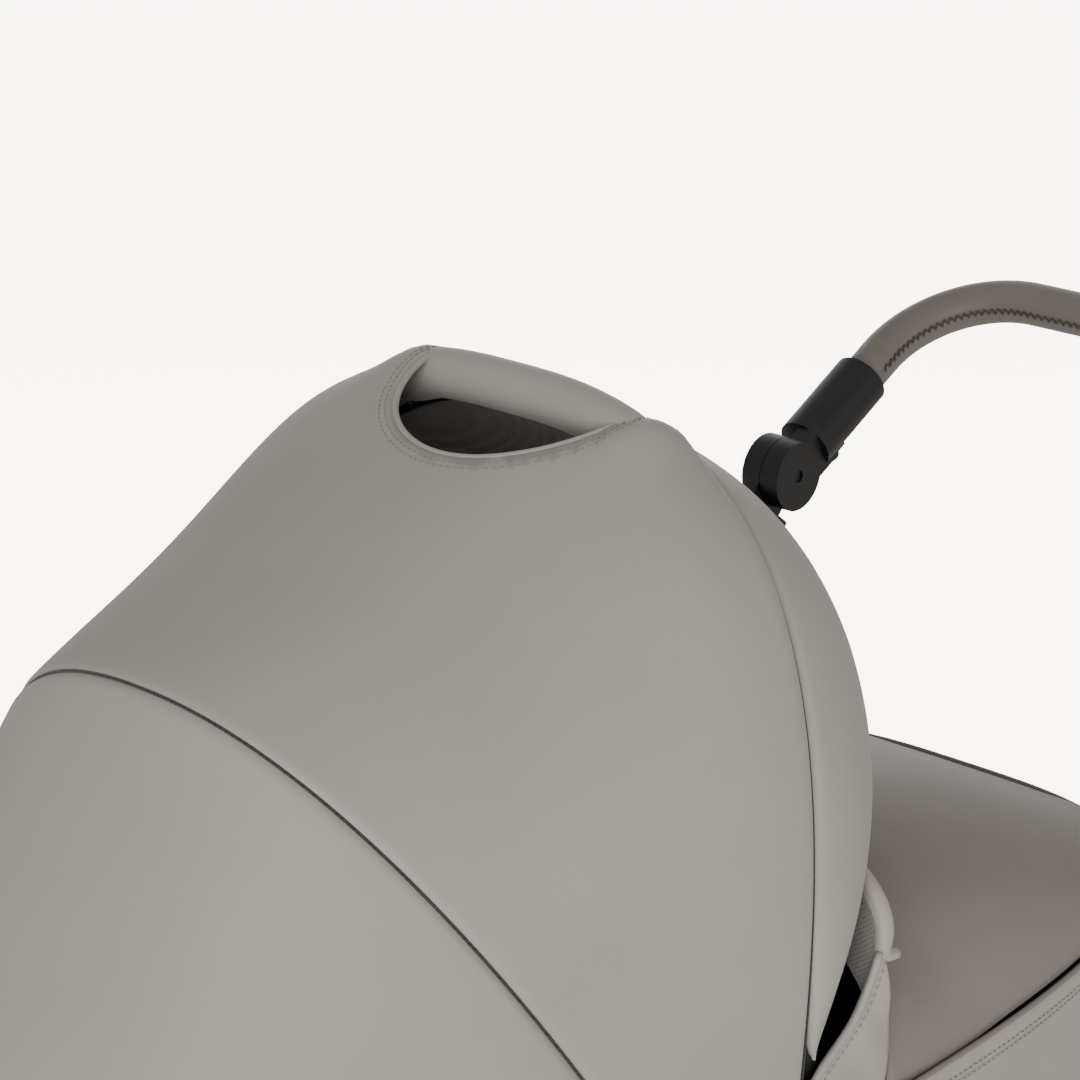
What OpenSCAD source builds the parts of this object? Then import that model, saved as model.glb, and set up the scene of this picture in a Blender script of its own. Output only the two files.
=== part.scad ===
// Baby pram: a folding four-wheel chassis with a carrycot, its hood and its apron.
// Millimetres. +X is the right-hand side seen from the front, -Y is the front, +Z is up.
// The origin is on the ground, in the middle of the whole pram.

/* [Carrycot] */
// Width over the top rim
cot_w = 410; // [360:1:500]
// Length over the top rim
cot_l = 780; // [680:1:940]
// From the top rim down to the underside
cot_depth = 230; // [180:1:280]
// Padded wall of the tub
cot_wall = 8; // [5:0.5:10]
// Height of the top rim above the ground
rim_z = 840; // [800:1:900]
// Width of the rim frame
rim_band = 8; // [6:0.5:10]
// Height of the rim frame
rim_h = 12; // [8:1:20]
// Thickness of the mattress
mattress_t = 30; // [20:1:45]

/* [Hood] */
// Outside height of the main bow over the hood's base line
main_bow_r = 447; // [400:1:470]
// Lean of the main bow from upright, forwards
main_bow_lean = -7; // [-10:1:0]
// Outside height of the rear bow over the hood's base line
rear_bow_r = 399; // [350:1:420]
// Lean of the rear bow from upright, forwards
rear_bow_lean = 29; // [25:1:35]
// Reach of the visor from the hinge
visor_r = 249; // [200:1:300]
// Thickness of the hood's padded cloth
cloth_t = 3; // [2:0.5:4]
// Diameter of the main bow
main_bow_d = 10; // [8:0.5:12]
// Diameter of the padded carry grip
grip_d = 25; // [20:0.5:30]
// Length of the bare carry grip
grip_l = 150; // [120:1:180]

/* [Push handle] */
// Diameter over the handlebar's cover
handle_d = 28.5; // [25:0.5:34]
// Diameter of the tube inside the cover
handle_core_d = 22; // [18:0.5:23]
// From the tilt joint to the middle of the handlebar
handle_arm = 192; // [160:1:230]
// Bend radius of the handlebar's corners
handle_bend = 76; // [60:1:92]
// Lean of the handlebar's arms from upright, backwards
handle_lean = 62; // [55:1:70]
// Radius of the tilt joint's drum
drum_r = 23; // [20:0.5:28]

/* [Chassis] */
// Height of the fold hub above the ground
hub_z = 490; // [460:1:520]
// Radius of the fold hub's discs
hub_r = 34; // [30:1:40]
// Diameter of the front legs
leg_d = 28; // [24:1:34]
// Diameter of the push tubes
push_d = 26; // [22:1:31]
// Diameter of the rear legs
rear_leg_d = 24; // [20:1:29]
// Diameter of the rear wheels
rear_wheel_d = 290; // [250:1:350]
// Diameter of the front wheels
front_wheel_d = 224; // [190:1:240]
// Width of the tyres
tyre_w = 40; // [34:1:48]

/* [Hidden] */
$fn = 48;

fabric = [0.62, 0.60, 0.57];
black = [0.12, 0.12, 0.13];
anthracite = [0.22, 0.22, 0.23];
side_names = ["left", "right"];
run = 0.05;        // radial clearance of a shaft in its bore
gap = 1;           // side clearance between layers that turn past each other
touch = 0.3;       // clearance of soft parts from other bodies

// Hood geometry. The bows' arches rise from a base line below and ahead of the hinge.
bow_exp_main = 2.9;
bow_exp_rear = 2.2;
front_seam_r = main_bow_r - 22;
front_seam_lean = main_bow_lean - 5;
visor_lean = -42;
visor_exp = 1.95;
hinge_up = 46;                       // hinge above the rim
base_drop = 146;                     // hinge above the base line
base_ahead = 30;                     // base line ahead of the hinge
cloth_half = cot_w / 2 + 5;          // the cloth hangs just outside the rim

// Lengths along Y, from the base line of the hood
head_reach = 330;                    // forwards to the cot's head end
cot_mid = cot_l / 2 - head_reach;    // the middle of the cot
joint_back = 557;                    // to the handle's tilt joint
joint_up = 206;                      // tilt joint above the base line
hub_back = 200;
adapter_back = cot_mid + 20;
caster_ahead = 260;
trail = 45;
rear_axle_back = 400;
rear_reach = joint_back + handle_arm * sin(handle_lean) + handle_d / 2;
base_y = (head_reach - rear_reach) / 2;
hinge_y = base_y + base_ahead;
hinge_z = rim_z + hinge_up;
base_z = hinge_z - base_drop;
cot_y = base_y + cot_mid;
cot_bottom = rim_z - cot_depth;
cot_taper = 0.74;                    // width of the underside over the width of the rim
cot_taper_l = 0.86;
hub_y = base_y + hub_back;
joint_y = base_y + joint_back;
joint_z = base_z + joint_up;

// Places across the pram
leg_x = cot_w / 2 + 10;
push_x = leg_x + leg_d / 2 + 5 + push_d / 2;
rear_leg_x = leg_x - leg_d / 2 - gap - rear_leg_d / 2;
sleeve_d = handle_d + 8.5;
arm_x = cot_w / 2 + 2.5 + sleeve_d / 2;
rear_wheel_x = push_x + push_d / 2 + 6 + tyre_w / 2;
front_r = front_wheel_d / 2;
rear_r = rear_wheel_d / 2;
caster_y = base_y - caster_ahead;
front_axle_y = caster_y + trail;
rear_axle_y = base_y + rear_axle_back;
bolt_r = 6;
fork_gap = 2;
fork_t = 5;
housing_z = front_wheel_d + 12;      // underside of the caster housings
housing_h = 46;
housing_r = 21;
leg_end_z = housing_z + 24;

// ---- shared shapes ----

// A solid with a wall: two grids of points, outer and inner, joined round their edges.
module skin(outer, inner) {
  m = len(outer);
  n = len(outer[0]);
  points = [for (g = [outer, inner], row = g, p = row) p];
  function o(i, j) = i * n + j;
  function q(i, j) = m * n + i * n + j;
  polyhedron(points, [
    for (i = [0 : m - 2], j = [0 : n - 2]) each [[o(i, j), o(i + 1, j), o(i + 1, j + 1)],
      [o(i, j), o(i + 1, j + 1), o(i, j + 1)],
      [q(i, j), q(i + 1, j + 1), q(i + 1, j)], [q(i, j), q(i, j + 1), q(i + 1, j + 1)]],
    for (j = [0 : n - 2]) each [[o(0, j), o(0, j + 1), q(0, j + 1)], [o(0, j), q(0, j + 1), q(0, j)],
      [o(m - 1, j), q(m - 1, j + 1), o(m - 1, j + 1)], [o(m - 1, j), q(m - 1, j), q(m - 1, j + 1)]],
    for (i = [0 : m - 2]) each [[o(i, 0), q(i + 1, 0), o(i + 1, 0)], [o(i, 0), q(i, 0), q(i + 1, 0)],
      [o(i, n - 1), o(i + 1, n - 1), q(i + 1, n - 1)], [o(i, n - 1), q(i + 1, n - 1), q(i, n - 1)]]]);
}

// A solid through closed rings of points, capped at the first and the last.
module loft(rings) {
  m = len(rings);
  n = len(rings[0]);
  polyhedron([for (r = rings, p = r) p], [
    [for (j = [0 : n - 1]) j],
    [for (j = [n - 1 : -1 : 0]) (m - 1) * n + j],
    for (i = [0 : m - 2], j = [0 : n - 1]) each [
      [i * n + j, (i + 1) * n + j, (i + 1) * n + (j + 1) % n],
      [i * n + j, (i + 1) * n + (j + 1) % n, i * n + (j + 1) % n]]]);
}

function unit(v) = v / norm(v);
// Rings of radius r square to a path of points.
function tube_rings(path, r, sides = 12) = [for (i = [0 : len(path) - 1])
  let (t = unit(path[min(i + 1, len(path) - 1)] - path[max(i - 1, 0)]),
       u = unit(cross(t, [0, 1, 0.01])), v = cross(t, u))
  [for (k = [0 : sides - 1]) path[i] + r * (cos(360 * k / sides) * u + sin(360 * k / sides) * v)]];

function power(x, n) = sign(x) * pow(abs(x), 2 / n);
// A point of an arch of half-width a and height r, in a plane that leans forwards.
function arch(t, a, r, lean, n) = let (h = r * power(sin(t), n))
  [a * power(cos(t), n), base_y - h * sin(lean), base_z + h * cos(lean)];
function hinge_arch(t, a, r, lean, n) = let (h = r * power(sin(t), n))
  [a * power(cos(t), n), hinge_y - h * sin(lean), hinge_z + h * cos(lean)];
// The cot's outline seen from above.
cot_exp = 3.2;
function outline(w, l, z, sides = 48) = [for (k = [0 : sides - 1]) let (t = 360 * k / sides)
  [w * power(cos(t), cot_exp), cot_y + l * power(sin(t), cot_exp), z]];
function flat(points) = [for (p = points) [p[0], p[1]]];

module both() { children(); mirror([1, 0, 0]) children(); }
module on(side) { mirror([side == "left" ? 1 : 0, 0, 0]) children(); }
module along_x(x, y, z, l, r) { translate([x, y, z]) rotate([0, 90, 0]) cylinder(h = l, r = r, center = true); }
// A round bar between two points.
module bar(a, b, r) {
  v = b - a;
  translate(a) rotate([0, acos(v[2] / norm(v)), atan2(v[1], v[0])]) cylinder(h = norm(v), r = r);
}

// ---- front frame, the part that stays still in the fold ----

leg_top = [leg_x, hub_y, hub_z];
leg_end = [leg_x, caster_y, leg_end_z];
leg_dir = unit(leg_end - leg_top);
function on_leg(share) = leg_top + (leg_end - leg_top) * share;

module housing_outside() translate([leg_x, caster_y, housing_z])
  cylinder(h = housing_h, r1 = housing_r, r2 = housing_r - 4);
module leg() bar(leg_top + leg_dir * (hub_r - 6), leg_end, leg_d / 2);
module front_frame() color(anthracite) difference() {
  union() {
    both() leg();
    for (share = [0.24, 0.74]) {
      p = on_leg(share);
      along_x(0, p[1], p[2], 2 * leg_x, 11);
    }
  }
  both() {
    along_x(leg_x, hub_y, hub_z, leg_d + 2, hub_r);
    housing_outside();
  }
}

module hub_cores() color(black) both() difference() {
  along_x(leg_x, hub_y, hub_z, leg_d, hub_r);
  along_x(leg_x, hub_y, hub_z, leg_d + 2, bolt_r);
}

hub_inner = rear_leg_x - rear_leg_d / 2;
hub_outer = push_x + push_d / 2;
cap_t = 4;
stay_t = 6;
bolt_in = hub_inner - touch - cap_t - stay_t;
bolt_out = hub_outer + touch + cap_t - 2;
module hub_bolts() color("silver") both()
  along_x((bolt_in + bolt_out) / 2, hub_y, hub_z, bolt_out - bolt_in, bolt_r);
module hub_bolt_caps() color(black) both() for (x = [hub_inner - touch - cap_t / 2, hub_outer + touch + cap_t / 2])
  difference() {
    along_x(x, hub_y, hub_z, cap_t, hub_r * 0.55);
    along_x((bolt_in + bolt_out) / 2, hub_y, hub_z, bolt_out - bolt_in, bolt_r);
  }

stem_r = 7;
module caster_housings() color(black) both() difference() {
  housing_outside();
  translate([leg_x, caster_y, housing_z - 1]) cylinder(h = housing_h - 9, r = stem_r + run);
}

// Carrycot adapters: a post from each hub, with an upright tongue.
tongue_w = 40;
tongue_t = 8;
tongue_x = leg_x - 5;
tongue_z0 = cot_bottom - 12;
tongue_h = 54;
adapter_y = base_y + adapter_back;
post_w = 14;
module cot_adapters() color(black) both() {
  difference() {
    hull() {
      along_x(tongue_x, hub_y - 18, hub_z + hub_r - 4, post_w, 14, $fn = 32);
      translate([tongue_x, adapter_y, tongue_z0 - 8]) cube([post_w, tongue_w + 12, 16], center = true);
    }
    along_x(leg_x, hub_y, hub_z, leg_d + 2, hub_r);
  }
  translate([tongue_x - tongue_t / 2, adapter_y - tongue_w / 2, tongue_z0 - 2]) cube([tongue_t, tongue_w, tongue_h + 2]);
}

// Shopping basket on a wire hoop, hung between the front legs.
basket_front = base_y - 110;
basket_back = base_y + 290;
basket_top = 345;
basket_bottom = 190;
basket_half = rear_leg_x - rear_leg_d / 2 - 16;
hoop_r = 5;
basket_t = 4;
function basket_ring(grow, z, drop = 0) = [for (k = [0 : 39]) let (t = 9 * k)
  [(basket_half - drop + grow) * power(cos(t), 5), (basket_front + basket_back) / 2
    + ((basket_back - basket_front) / 2 - drop + grow) * power(sin(t), 5), z]];
module basket() color(anthracite) loft([basket_ring(-6, basket_bottom, 26), basket_ring(0, basket_bottom + 14, 22),
  basket_ring(0, basket_top - 2 * hoop_r), basket_ring(-basket_t, basket_top - 2 * hoop_r),
  basket_ring(-basket_t, basket_bottom + 16, 22), basket_ring(-basket_t - 6, basket_bottom + 5, 26)]);
stay_y = hub_y;
module basket_hoop() color(black) {
  difference() {
    translate([0, 0, basket_top - 2 * hoop_r]) linear_extrude(2 * hoop_r)
      polygon(flat(basket_ring(hoop_r - basket_t, 0)));
    translate([0, 0, basket_top - 2 * hoop_r - 1]) linear_extrude(2 * hoop_r + 2)
      polygon(flat(basket_ring(-hoop_r - basket_t, 0)));
  }
  // Arms reach the front legs, and stays hang it from the hub bolts.
  share = (hub_z - (basket_top - hoop_r)) / (hub_z - leg_end_z);
  p = on_leg(share);
  difference() {
    both() translate([basket_half * 0.6, p[1], basket_top - hoop_r]) rotate([0, 90, 0])
      cylinder(h = leg_x - basket_half * 0.6, r = hoop_r - 0.5);
    both() leg();
  }
  both() {
    bar([basket_half, stay_y, basket_top - hoop_r], [bolt_in + stay_t / 2, stay_y, hub_z - 12], 3);
    difference() {
      along_x(bolt_in + stay_t / 2, hub_y, hub_z, stay_t - touch, 13);
      along_x(bolt_in + stay_t / 2, hub_y, hub_z, stay_t + 2, bolt_r);
    }
  }
}

// ---- rear legs, the beam with the brake, and the rear wheels ----

beam_r = 13;
rear_axle = [0, rear_axle_y, rear_r];
rear_dir = unit([0, rear_axle_y - hub_y, rear_r - hub_z]);
module rear_legs() color(anthracite) both() difference() {
  union() {
    along_x(rear_leg_x, hub_y, hub_z, rear_leg_d, hub_r);
    bar([rear_leg_x, hub_y, hub_z] + rear_dir * (hub_r - 6), [rear_leg_x, rear_axle_y, rear_r] - rear_dir * beam_r * 0.6,
      rear_leg_d / 2);
  }
  along_x(rear_leg_x, hub_y, hub_z, rear_leg_d + 2, bolt_r + run);
  along_x(rear_leg_x, rear_axle_y, rear_r, rear_leg_d + 16, beam_r + 7);
}

beam_end = rear_wheel_x - tyre_w / 2 - 5;
pin_r = 5;
rod_y = rear_axle_y + beam_r + 12;
rod_z = rear_r + 4;
rod_r = 4;
lug_x = 62;
lug_t = 10;
rod_end = beam_end - 4;
dog_l = 26;
dog_r = 4;
module rear_beam() color(black) difference() {
  union() {
    along_x(0, rear_axle_y, rear_r, 2 * beam_end, beam_r);
    both() along_x(rear_leg_x, rear_axle_y, rear_r, rear_leg_d + 16, beam_r + 7);
    // Lugs carry the brake's rod.
    both() for (x = [lug_x, rod_end - 16]) hull() {
      along_x(x, rod_y, rod_z, lug_t, 9, $fn = 32);
      translate([x - lug_t / 2, rear_axle_y, rear_r - 8]) cube([lug_t, 2, 16]);
    }
  }
  both() along_x(beam_end - 18, rear_axle_y, rear_r, 36.2, pin_r);
  along_x(0, rod_y, rod_z, 2 * rod_end + 2, rod_r + run);
}
rear_hub_half = tyre_w / 2 + 2;
// The rod turns with the pedal, and a dog on each end reaches the wheel's ring.
module brake_rod() color("silver") {
  along_x(0, rod_y, rod_z, 2 * rod_end, rod_r);
  both() {
    along_x(rod_end - 4, rod_y, rod_z, 8, 8);
    translate([rod_end - 8, rod_y - 5, rod_z - dog_l - 4]) cube([8, 10, dog_l + 4]);
    along_x(rod_end + 5.5, rod_y, rod_z - dog_l, 11, dog_r);
  }
}
pedal_w = 2 * lug_x - lug_t - 2 * gap;
module brake_pedal() color(black) difference() {
  union() {
    along_x(0, rod_y, rod_z, pedal_w, 9);
    hull() {
      translate([-pedal_w / 2 + 4, rod_y + 3, rod_z - 5]) cube([pedal_w - 8, 4, 12]);
      translate([-pedal_w / 2 + 12, rod_y + 46, rod_z + 8]) cube([pedal_w - 24, 4, 6]);
    }
  }
  along_x(0, rod_y, rod_z, pedal_w + 2, rod_r);
}
module rear_axle_pins() color("silver") both() {
  l = 36 + rear_wheel_x + rear_hub_half + 3 - beam_end;
  translate([beam_end - 36, rear_axle_y, rear_r]) rotate([0, 90, 0]) cylinder(h = l, r = pin_r);
}

// A wheel about its own middle, lying square to X.
module tyre(r, w) rotate([0, 90, 0]) rotate_extrude($fn = 96) difference() {
  union() {
    translate([r - w * 0.42, 0]) scale([0.42, 0.5]) circle(r = w);
  }
  translate([0, -w]) square([r - w * 0.72, 2 * w]);
}
module rim(r, w, bore, hub_half, spokes) difference() {
  union() {
    rotate([0, 90, 0]) rotate_extrude($fn = 96) difference() {
      translate([r - w * 0.72 - 9, -w * 0.3]) square([9, w * 0.6]);
      translate([r - w * 0.72 - 13, -w * 0.22]) square([9, w * 0.44]);
    }
    rotate([0, 90, 0]) cylinder(h = 2 * hub_half, r = 17, center = true);
    for (k = [0 : spokes - 1]) rotate([360 * k / spokes, 0, 0])
      translate([-w * 0.17, -6, 14]) cube([w * 0.34, 12, r - w * 0.72 - 17]);
  }
  rotate([0, 90, 0]) cylinder(h = 2 * hub_half + 2, r = bore, center = true);
}
module rear_tyre(side) color("black") on(side) translate([rear_wheel_x, rear_axle_y, rear_r]) tyre(rear_r, tyre_w);
// The ring on the inner face, with the notches that the brake's dog drops into.
brake_turn = 20;
dog_at = [rod_y - rear_axle_y - dog_l * sin(brake_turn), rod_z - rear_r - dog_l * cos(brake_turn)];
module rear_rim(side) color(anthracite) on(side) translate([rear_wheel_x, rear_axle_y, rear_r]) {
  rim(rear_r, tyre_w, pin_r + run, rear_hub_half, 8);
  difference() {
    translate([-rear_hub_half, 0, 0]) rotate([0, 90, 0]) cylinder(h = 6, r = norm(dog_at) + 0.5);
    along_x(0, 0, 0, 2 * rear_hub_half + 2, 16);
    for (k = [0 : 11]) rotate([atan2(dog_at[1], dog_at[0]) + 30 * k, 0, 0])
      along_x(-rear_hub_half + 3, norm(dog_at), 0, 8, dog_r + 1.2);
  }
}
module rear_hub_cap(side) color(black) on(side)
  translate([rear_wheel_x + rear_hub_half, rear_axle_y, rear_r]) rotate([0, 90, 0]) difference() {
    cylinder(h = 7, r1 = 19, r2 = 15);
    translate([0, 0, -1]) cylinder(h = 4.5, r = pin_r + 0.5);
  }

// ---- front casters ----

front_hub_half = tyre_w / 2 - fork_t;
cheek_x = tyre_w / 2 + fork_gap;
crown_z = front_wheel_d + 5;
module front_fork(side) color(black) on(side) difference() {
  union() {
    for (s = [-1, 1]) hull() {
      translate([leg_x + s * (cheek_x + fork_t / 2), front_axle_y, front_r]) rotate([0, 90, 0])
        cylinder(h = fork_t, r = 12, center = true, $fn = 32);
      translate([leg_x + s * (cheek_x + fork_t / 2), caster_y + 6, crown_z]) cube([fork_t, 34, 6], center = true);
    }
    translate([leg_x, caster_y + 4, crown_z]) cube([2 * (cheek_x + fork_t), 38, 6], center = true);
    translate([leg_x, caster_y, crown_z]) cylinder(h = housing_z + housing_h - 14 - crown_z, r = stem_r);
  }
  along_x(leg_x, front_axle_y, front_r, 3 * cheek_x, pin_r);
}
module front_axle(side) color("silver") on(side) along_x(leg_x, front_axle_y, front_r, 2 * (cheek_x + fork_t + 3), pin_r);
module front_tyre(side) color("black") on(side) translate([leg_x, front_axle_y, front_r]) tyre(front_r, tyre_w);
module front_rim(side) color(anthracite) on(side) translate([leg_x, front_axle_y, front_r])
  rim(front_r, tyre_w, pin_r + run, cheek_x - 1, 6);
// Swivel lock: a tab on each housing, pushed down to hold the caster straight.
module swivel_lock(side) color("dimgray") on(side)
  translate([leg_x - 7, caster_y - housing_r - 7, housing_z + 8]) cube([14, 5.5, 22]);

// ---- push frame ----

push_foot = [push_x, hub_y, hub_z];
push_head = [arm_x, joint_y, joint_z];
push_dir = unit(push_head - push_foot);
socket_l = 52;
module push_tubes() color(anthracite) both() difference() {
  union() {
    translate([leg_x + leg_d / 2 + gap, hub_y, hub_z]) rotate([0, 90, 0])
      cylinder(h = hub_outer - leg_x - leg_d / 2 - gap, r = hub_r);
    bar(push_foot + push_dir * (hub_r - 6), push_head - push_dir * (drum_r + 10), push_d / 2);
  }
  along_x(push_x, hub_y, hub_z, push_d + 20, bolt_r + run);
}

drum_w = 14;
drum_bolt_r = 4;
lap = 0.25;
module joint_sockets() color(black) both() {
  difference() {
    union() {
      along_x(arm_x + lap + drum_w / 2, joint_y, joint_z, drum_w, drum_r);
      intersection() {
        bar(push_head - push_dir * (drum_r + socket_l), push_head - push_dir * (drum_r * 0.5), push_d / 2 + 4.5);
        translate([arm_x + lap, joint_y - 120, joint_z - 120]) cube([60, 240, 240]);
      }
      bar(push_head - push_dir * (drum_r + socket_l), push_head - push_dir * (drum_r + 6), push_d / 2 + 4.5);
    }
    along_x(arm_x, joint_y, joint_z, 3 * drum_w, drum_bolt_r);
    bar(push_head - push_dir * (drum_r + socket_l + 1), push_head - push_dir * (drum_r + 10), push_d / 2);
  }
  // The joint's bolt, with a flat head outside.
  along_x(arm_x + lap + 1, joint_y, joint_z, 2 * drum_w, drum_bolt_r);
}

catch_back = 96;    // from the hub along the push tube
module fold_catch(side) color("dimgray") on(side) {
  c = push_foot + push_dir * catch_back;
  difference() {
    union() {
      bar(c, c + push_dir * 40, push_d / 2 + 4.5);
      bar(c + push_dir * 30, c + push_dir * 38, push_d / 2 + 8);
    }
    bar(c - push_dir * 5, c + push_dir * 45, push_d / 2 + 0.3);
  }
}

// ---- handlebar ----

arm_dir = [0, sin(handle_lean), cos(handle_lean)];
sleeve_start = drum_r + 4;
sleeve_l = 66;
button_up = 17;     // the tilt button's place along the sleeve
arm_l = handle_arm - handle_bend;
module at_joint(x = arm_x) { translate([x, joint_y, joint_z]) rotate([-handle_lean, 0, 0]) children(); }
module handle_arms() color(black) both() difference() {
  union() {
    along_x(arm_x - lap - drum_w / 2, joint_y, joint_z, drum_w, drum_r);
    at_joint() {
      translate([0, 0, sleeve_start]) cylinder(h = sleeve_l, r = sleeve_d / 2);
      translate([-drum_w - lap + 0.5, -drum_r * 0.7, drum_r / 2]) cube([drum_w - 1, drum_r * 1.4, sleeve_start + 6 - drum_r / 2]);
      translate([-8, sleeve_d / 2 - 6, sleeve_start + button_up - 9]) cube([16, 8, 18]);
    }
  }
  along_x(arm_x, joint_y, joint_z, 3 * drum_w, drum_bolt_r + run);
  at_joint() translate([0, sleeve_d / 2 + 3, sleeve_start + button_up]) rotate([90, 0, 0]) cylinder(h = 14, r = 6.5 + run);
  at_joint() translate([0, 0, sleeve_start + sleeve_l - 30]) cylinder(h = 31, r = handle_core_d / 2);
}
// The middle line of the U: up one arm, round two corners and down the other arm.
u_up = sleeve_start + sleeve_l;
function u_path(from) = let (c = arm_x - handle_bend) [for (p = concat([[arm_x, from], [arm_x, (from + arm_l) / 2]],
    [for (t = [0 : 10 : 90]) [c + handle_bend * cos(t), arm_l + handle_bend * sin(t)]],
    [for (t = [90 : 10 : 180]) [-c + handle_bend * cos(t), arm_l + handle_bend * sin(t)]],
    [[-arm_x, (from + arm_l) / 2], [-arm_x, from]]))
  [p[0], joint_y + p[1] * sin(handle_lean), joint_z + p[1] * cos(handle_lean)]];
function u_rings(r, from) = let (n = [0, cos(handle_lean), -sin(handle_lean)], path = u_path(from))
  [for (i = [0 : len(path) - 1]) let (t = unit(path[min(i + 1, len(path) - 1)] - path[max(i - 1, 0)]), v = cross(t, n))
    [for (k = [0 : 31]) path[i] + r * (cos(11.25 * k) * n + sin(11.25 * k) * v)]];
module handle_core() color("silver") loft(u_rings(handle_core_d / 2, u_up - 30));
module handle_cover() color(fabric) difference() {
  loft(u_rings(handle_d / 2, u_up));
  loft(u_rings(handle_core_d / 2, u_up - 1));
}
// A round push button in the underside of each arm.
module tilt_button(side) color("dimgray") on(side) at_joint()
  translate([0, sleeve_d / 2 + 7, sleeve_start + button_up]) rotate([90, 0, 0]) cylinder(h = 13, r = 6.5);

// ---- carrycot ----

floor_t = 8;
floor_share = floor_t / cot_depth;
floor_knot = (floor_t + 1.2) / cot_depth;
tub_curve = [for (s = [0, floor_knot, 0.25, 0.5, 0.75, 1]) [s, pow(s, 0.75)]];
function tub_ring(share, inset) = let (z = cot_bottom + cot_depth * share, k = lookup(share, tub_curve),
  w = cot_w / 2 * (cot_taper + (1 - cot_taper) * k),
  l = cot_l / 2 * (cot_taper_l + (1 - cot_taper_l) * k)) outline(w - inset, l - inset, z);
tub_top = 1 - rim_h / cot_depth;
module tub_outside(grow = 0) loft([tub_ring(0, 6 - grow), for (s = [floor_knot, 0.25, 0.5, 0.75, 1]) tub_ring(s, -grow)]);
module cot_tub() color(fabric) loft([tub_ring(0, 6), for (s = [floor_knot, 0.25, 0.5, 0.75]) tub_ring(s, 0),
  tub_ring(tub_top, 0), tub_ring(tub_top, cot_wall), for (s = [0.75, 0.5, 0.25, floor_knot]) tub_ring(s, cot_wall),
  tub_ring(floor_share, cot_wall)]);
module cot_rim() color(black) translate([0, 0, rim_z - rim_h]) difference() {
  linear_extrude(rim_h) polygon(flat(outline(cot_w / 2, cot_l / 2, 0)));
  translate([0, 0, -1]) linear_extrude(rim_h + 2) polygon(flat(outline(cot_w / 2 - rim_band, cot_l / 2 - rim_band, 0)));
}
lining_t = 3;
board_t = 4;
lining_in = cot_wall + touch;
module cot_lining() color(black) loft([for (s = [floor_share + board_t / cot_depth + 0.004, 0.25, 0.5, 0.75, tub_top - 0.01])
  tub_ring(s, lining_in), for (s = [tub_top - 0.01, 0.75, 0.5, 0.25]) tub_ring(s, lining_in + lining_t),
  tub_ring(floor_share + (board_t + lining_t) / cot_depth + 0.004, lining_in + lining_t)]);
module cot_board() color("tan") translate([0, 0, cot_bottom + floor_t]) linear_extrude(board_t)
  polygon(flat(tub_ring(floor_share, cot_wall + 1)));
mattress_z = cot_bottom + floor_t + board_t + lining_t + 1.5;
module mattress() color("whitesmoke") loft([tub_ring((mattress_z - cot_bottom) / cot_depth, lining_in + lining_t + 8),
  tub_ring((mattress_z + 6 - cot_bottom) / cot_depth, lining_in + lining_t + 2),
  tub_ring((mattress_z + mattress_t - 6 - cot_bottom) / cot_depth, lining_in + lining_t + 2),
  tub_ring((mattress_z + mattress_t - cot_bottom) / cot_depth, lining_in + lining_t + 8)]);

// Side brackets that drop over the chassis adapters.
bracket_wall = 5.5;
bracket_out = tongue_x + tongue_t / 2 + 0.5 + bracket_wall;
bracket_z0 = tongue_z0 + 6;
bracket_h = 72;
slot_fit = 0.5;
button_r = 9;
module cot_brackets() color(black) both() difference() {
  translate([cot_w / 2 * cot_taper + 6, adapter_y - tongue_w / 2 - 10, bracket_z0])
    cube([bracket_out - cot_w / 2 * cot_taper - 6, tongue_w + 20, bracket_h]);
  translate([tongue_x - tongue_t / 2 - slot_fit, adapter_y - tongue_w / 2 - slot_fit, bracket_z0 - 1])
    cube([tongue_t + 2 * slot_fit, tongue_w + 2 * slot_fit, tongue_z0 + tongue_h + 2 - bracket_z0]);
  translate([tongue_x - 4, adapter_y, bracket_z0 + bracket_h - 9]) cylinder(h = 14, r = button_r + run);
  tub_outside(touch);
}
// Release buttons on top of the brackets.
module cot_release(side) color("dimgray") on(side)
  translate([tongue_x - 4, adapter_y, bracket_z0 + bracket_h - 4]) cylinder(h = 9, r = button_r);
foot_h = 10;
module cot_feet() color(black) both() for (s = [-1, 1])
  translate([cot_w / 2 * cot_taper * 0.55, cot_y + s * cot_l * 0.3, cot_bottom - foot_h]) cylinder(h = foot_h, r1 = 12, r2 = 16);

// The apron: a domed cover from the foot end to the hood, open towards the head.
apron_t = 4;
apron_start = 99;
apron_end = cot_l - head_reach - 8;
apron_rise = 122;
function apron_half(y) = (cot_w / 2 - 1) * pow(max(0.02, 1 - pow(abs((y - cot_mid) / (cot_l / 2)), cot_exp)), 1 / cot_exp);
function apron_arch(s, inset) = let (y0 = apron_start + (apron_end - apron_start) * s,
  h = apron_rise * (1 - pow(s, 1.6)), half = apron_half(y0) - inset)
  [for (k = [0 : 20]) let (t = 9 * k, up = h * pow(sin(t), 0.85))
    [half * power(cos(t), 2.2), base_y + y0, rim_z + touch + max(0, up - inset) + 0.5]];
module apron() color(fabric) skin([for (s = [0 : 0.1 : 1]) [for (p = apron_arch(s, 0)) p + [0, 0, apron_t]]],
  [for (s = [0 : 0.1 : 1]) apron_arch(s, apron_t)]);
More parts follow.
